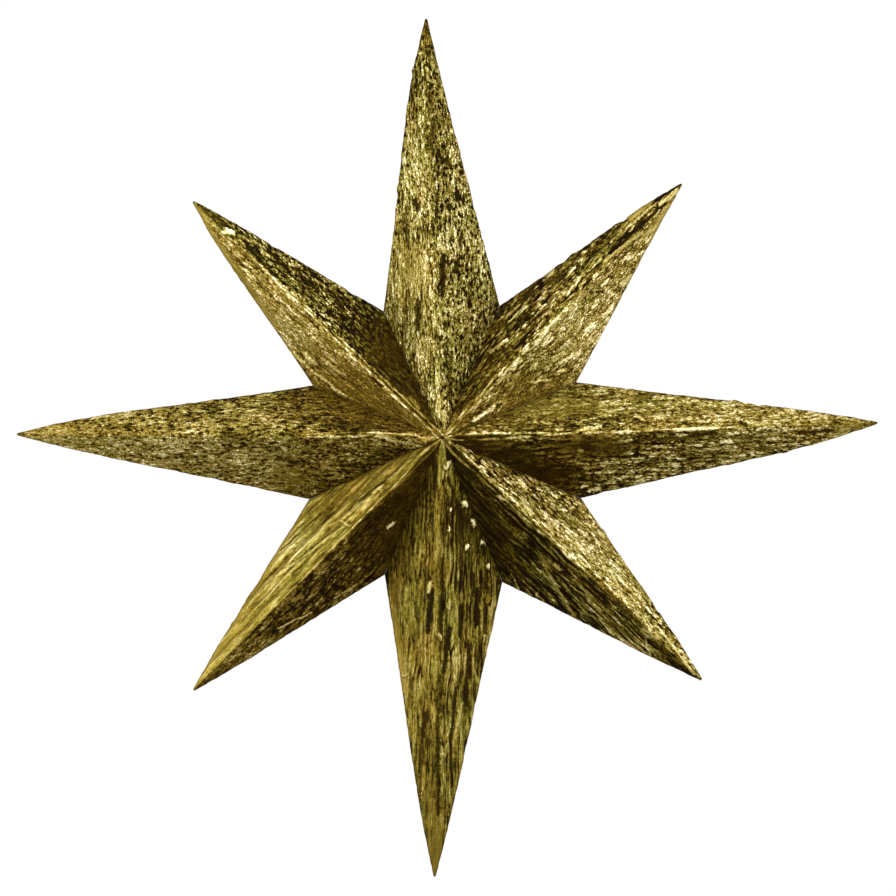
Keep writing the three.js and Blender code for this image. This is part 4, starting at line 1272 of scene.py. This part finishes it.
def front_camera(scene, settings):
    """The camera square to the wall, with the frame width filling the picture at the hems."""
    camera = bpy.data.objects.new("Front camera", bpy.data.cameras.new("Front camera"))
    scene.collection.objects.link(camera)
    camera.location = (settings.centre_x, -settings.distance, settings.centre_z)
    camera.rotation_euler = (math.pi / 2, 0, 0)
    camera.data.sensor_width = SENSOR_WIDTH
    camera.data.lens = SENSOR_WIDTH * (settings.distance - HEM_FRONT / 1000) / settings.frame_width
    scene.camera = camera


def pale_floor(scene, settings):
    """The round floor below the star, in a faintly clouded pale material."""
    material, tree, shader = new_material("Pale floor", settings.floor)
    place = add_node(tree, "ShaderNodeTexCoord").outputs["Object"]
    cloud = add_node(tree, "ShaderNodeTexNoise", None, Vector=place, Scale=3.0, Detail=2.0)
    shade = (*(c * 0.97 for c in settings.floor[:3]), 1)
    colour = mix_colours(tree, cloud.outputs[0], settings.floor, shade)
    set_inputs(tree, shader, Base_Color=colour, Roughness=0.9)
    floor = bpy.data.objects.new("Floor", disc_mesh("Floor", FLOOR_RADIUS, FLOOR_LEVEL))
    scene.collection.objects.link(floor)
    floor.data.materials.append(material)


def white_world(scene, settings):
    """A world that is white to the camera, in mirrors and through glass, and dimmer as a light."""
    world = bpy.data.worlds.new("Studio")
    world.use_nodes = True
    scene.world = world
    tree = world.node_tree
    tree.nodes.clear()
    path = tree.nodes.new("ShaderNodeLightPath")
    seen = math_node(tree, "MAXIMUM", path.outputs["Is Camera Ray"], path.outputs["Is Glossy Ray"])
    seen = math_node(tree, "MAXIMUM", seen, path.outputs["Is Transmission Ray"])
    strength = ranged(tree, seen, 0, 1, settings.ambient, 1.0)
    backdrop = add_node(tree, "ShaderNodeBackground", None, Color=(1, 1, 1, 1), Strength=strength)
    output = tree.nodes.new("ShaderNodeOutputWorld")
    tree.links.new(backdrop.outputs[0], output.inputs[0])


def soft_box(scene, name, place, size, watts):
    """A rectangular lamp that faces the star's middle."""
    lamp = bpy.data.objects.new(name, bpy.data.lights.new(name, "AREA"))
    lamp.data.shape = "RECTANGLE"
    lamp.data.size, lamp.data.size_y = size
    lamp.data.energy = watts
    lamp.location = place
    lamp.rotation_euler = (-lamp.location).to_track_quat("-Z", "Y").to_euler()
    scene.collection.objects.link(lamp)


# Operators


def refinish(material, node):
    """Gives a CAD node that stays in sight a material."""
    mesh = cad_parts[node].data
    mesh.materials.clear()
    mesh.materials.append(material)


class STAR_OT_set_stage(bpy.types.Operator):
    """Set up the floor, the lamps, the world and the camera"""

    bl_idname = "star.set_stage"
    bl_label = "Set Stage"

    def execute(self, context):
        scene = context.scene
        settings = scene.star_stage
        scene.view_settings.view_transform = "Standard"
        front_camera(scene, settings)
        pale_floor(scene, settings)
        white_world(scene, settings)
        for lamp in LAMPS:
            soft_box(scene, *lamp)
        return {"FINISHED"}


class STAR_OT_fold_rays(bpy.types.Operator):
    """Fold the eight rays of crinkled gold card"""

    bl_idname = "star.fold_rays"
    bl_label = "Fold Rays"

    def execute(self, context):
        settings = context.scene.star_foil
        material = gold_foil(settings)
        for k, name in enumerate(NAMES):
            add_piece(folded_ray(k, settings), material, "star", f"ray_{name}")
        return {"FINISHED"}


class STAR_OT_glue_back(bpy.types.Operator):
    """Glue on the back board, with the centre patch inside"""

    bl_idname = "star.glue_back"
    bl_label = "Glue Back"

    def execute(self, context):
        settings = context.scene.star_back
        board = fibrous("Grey-brown board", settings.board, settings.board_dark, 900, 0.9, 0.00012)
        add_piece(star_board(), board, "star", "back_board")
        refinish(fibrous("Kraft card", settings.patch, settings.board_dark, 1300, 0.85, 0.00006), "centre_patch")
        return {"FINISHED"}


class STAR_OT_fit_hanger(bpy.types.Operator):
    """Fit the hanger's strap, wire ring, rivet and washer of plated steel"""

    bl_idname = "star.fit_hanger"
    bl_label = "Fit Hanger"

    def execute(self, context):
        material = plated_steel(context.scene.star_hanger)
        add_piece(hanger_strap(), material, "star", "hanger_plate")
        add_piece(domed_rivet(), material, "star", "hanger_rivet")
        add_piece(hanger_wire(), material, "ring", "hanger_ring")
        refinish(material, "rivet_washer")
        return {"FINISHED"}


class STAR_OT_press_pads(bpy.types.Operator):
    """Press the four felt pads onto the board"""

    bl_idname = "star.press_pads"
    bl_label = "Press Pads"

    def execute(self, context):
        settings = context.scene.star_back
        material = fibrous("Dark felt", settings.felt, settings.felt_dark, 2200, 1.0, 0.0002)
        for node in ("pad_upper_right", "pad_upper_left", "pad_lower_left", "pad_lower_right"):
            low, high = (np.array(corner) * 1000 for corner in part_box(node))
            x, _, y = (low + high) / 2
            add_piece(felt_pad(f"felt_{node}", x, y), material, "star", node)
        return {"FINISHED"}


class STAR_PT_panel(bpy.types.Panel):
    """Lists the star's operators and settings"""

    bl_idname = "STAR_PT_panel"
    bl_label = "Crinkled Gold Star"
    bl_space_type = "VIEW_3D"
    bl_region_type = "UI"
    bl_category = "Star"

    def draw(self, context):
        for operator in OPERATORS:
            self.layout.operator(operator.bl_idname)
        for name, group in SETTINGS.items():
            box = self.layout.box()
            box.label(text=group.__doc__)
            for label in group.__annotations__:
                box.prop(getattr(context.scene, name), label)


OPERATORS = [STAR_OT_set_stage, STAR_OT_fold_rays, STAR_OT_glue_back, STAR_OT_fit_hanger, STAR_OT_press_pads]
CLASSES = [*SETTINGS.values(), *OPERATORS, STAR_PT_panel]


def register():
    for cls in CLASSES:
        bpy.utils.register_class(cls)
    for name, group in SETTINGS.items():
        setattr(bpy.types.Scene, name, bpy.props.PointerProperty(type=group))


def unregister():
    for name in SETTINGS:
        delattr(bpy.types.Scene, name)
    for cls in reversed(CLASSES):
        bpy.utils.unregister_class(cls)


def main():
    register()
    bpy.ops.star.set_stage()
    bpy.ops.star.fold_rays()
    bpy.ops.star.glue_back()
    bpy.ops.star.fit_hanger()
    bpy.ops.star.press_pads()


if __name__ == "__main__":
    main()
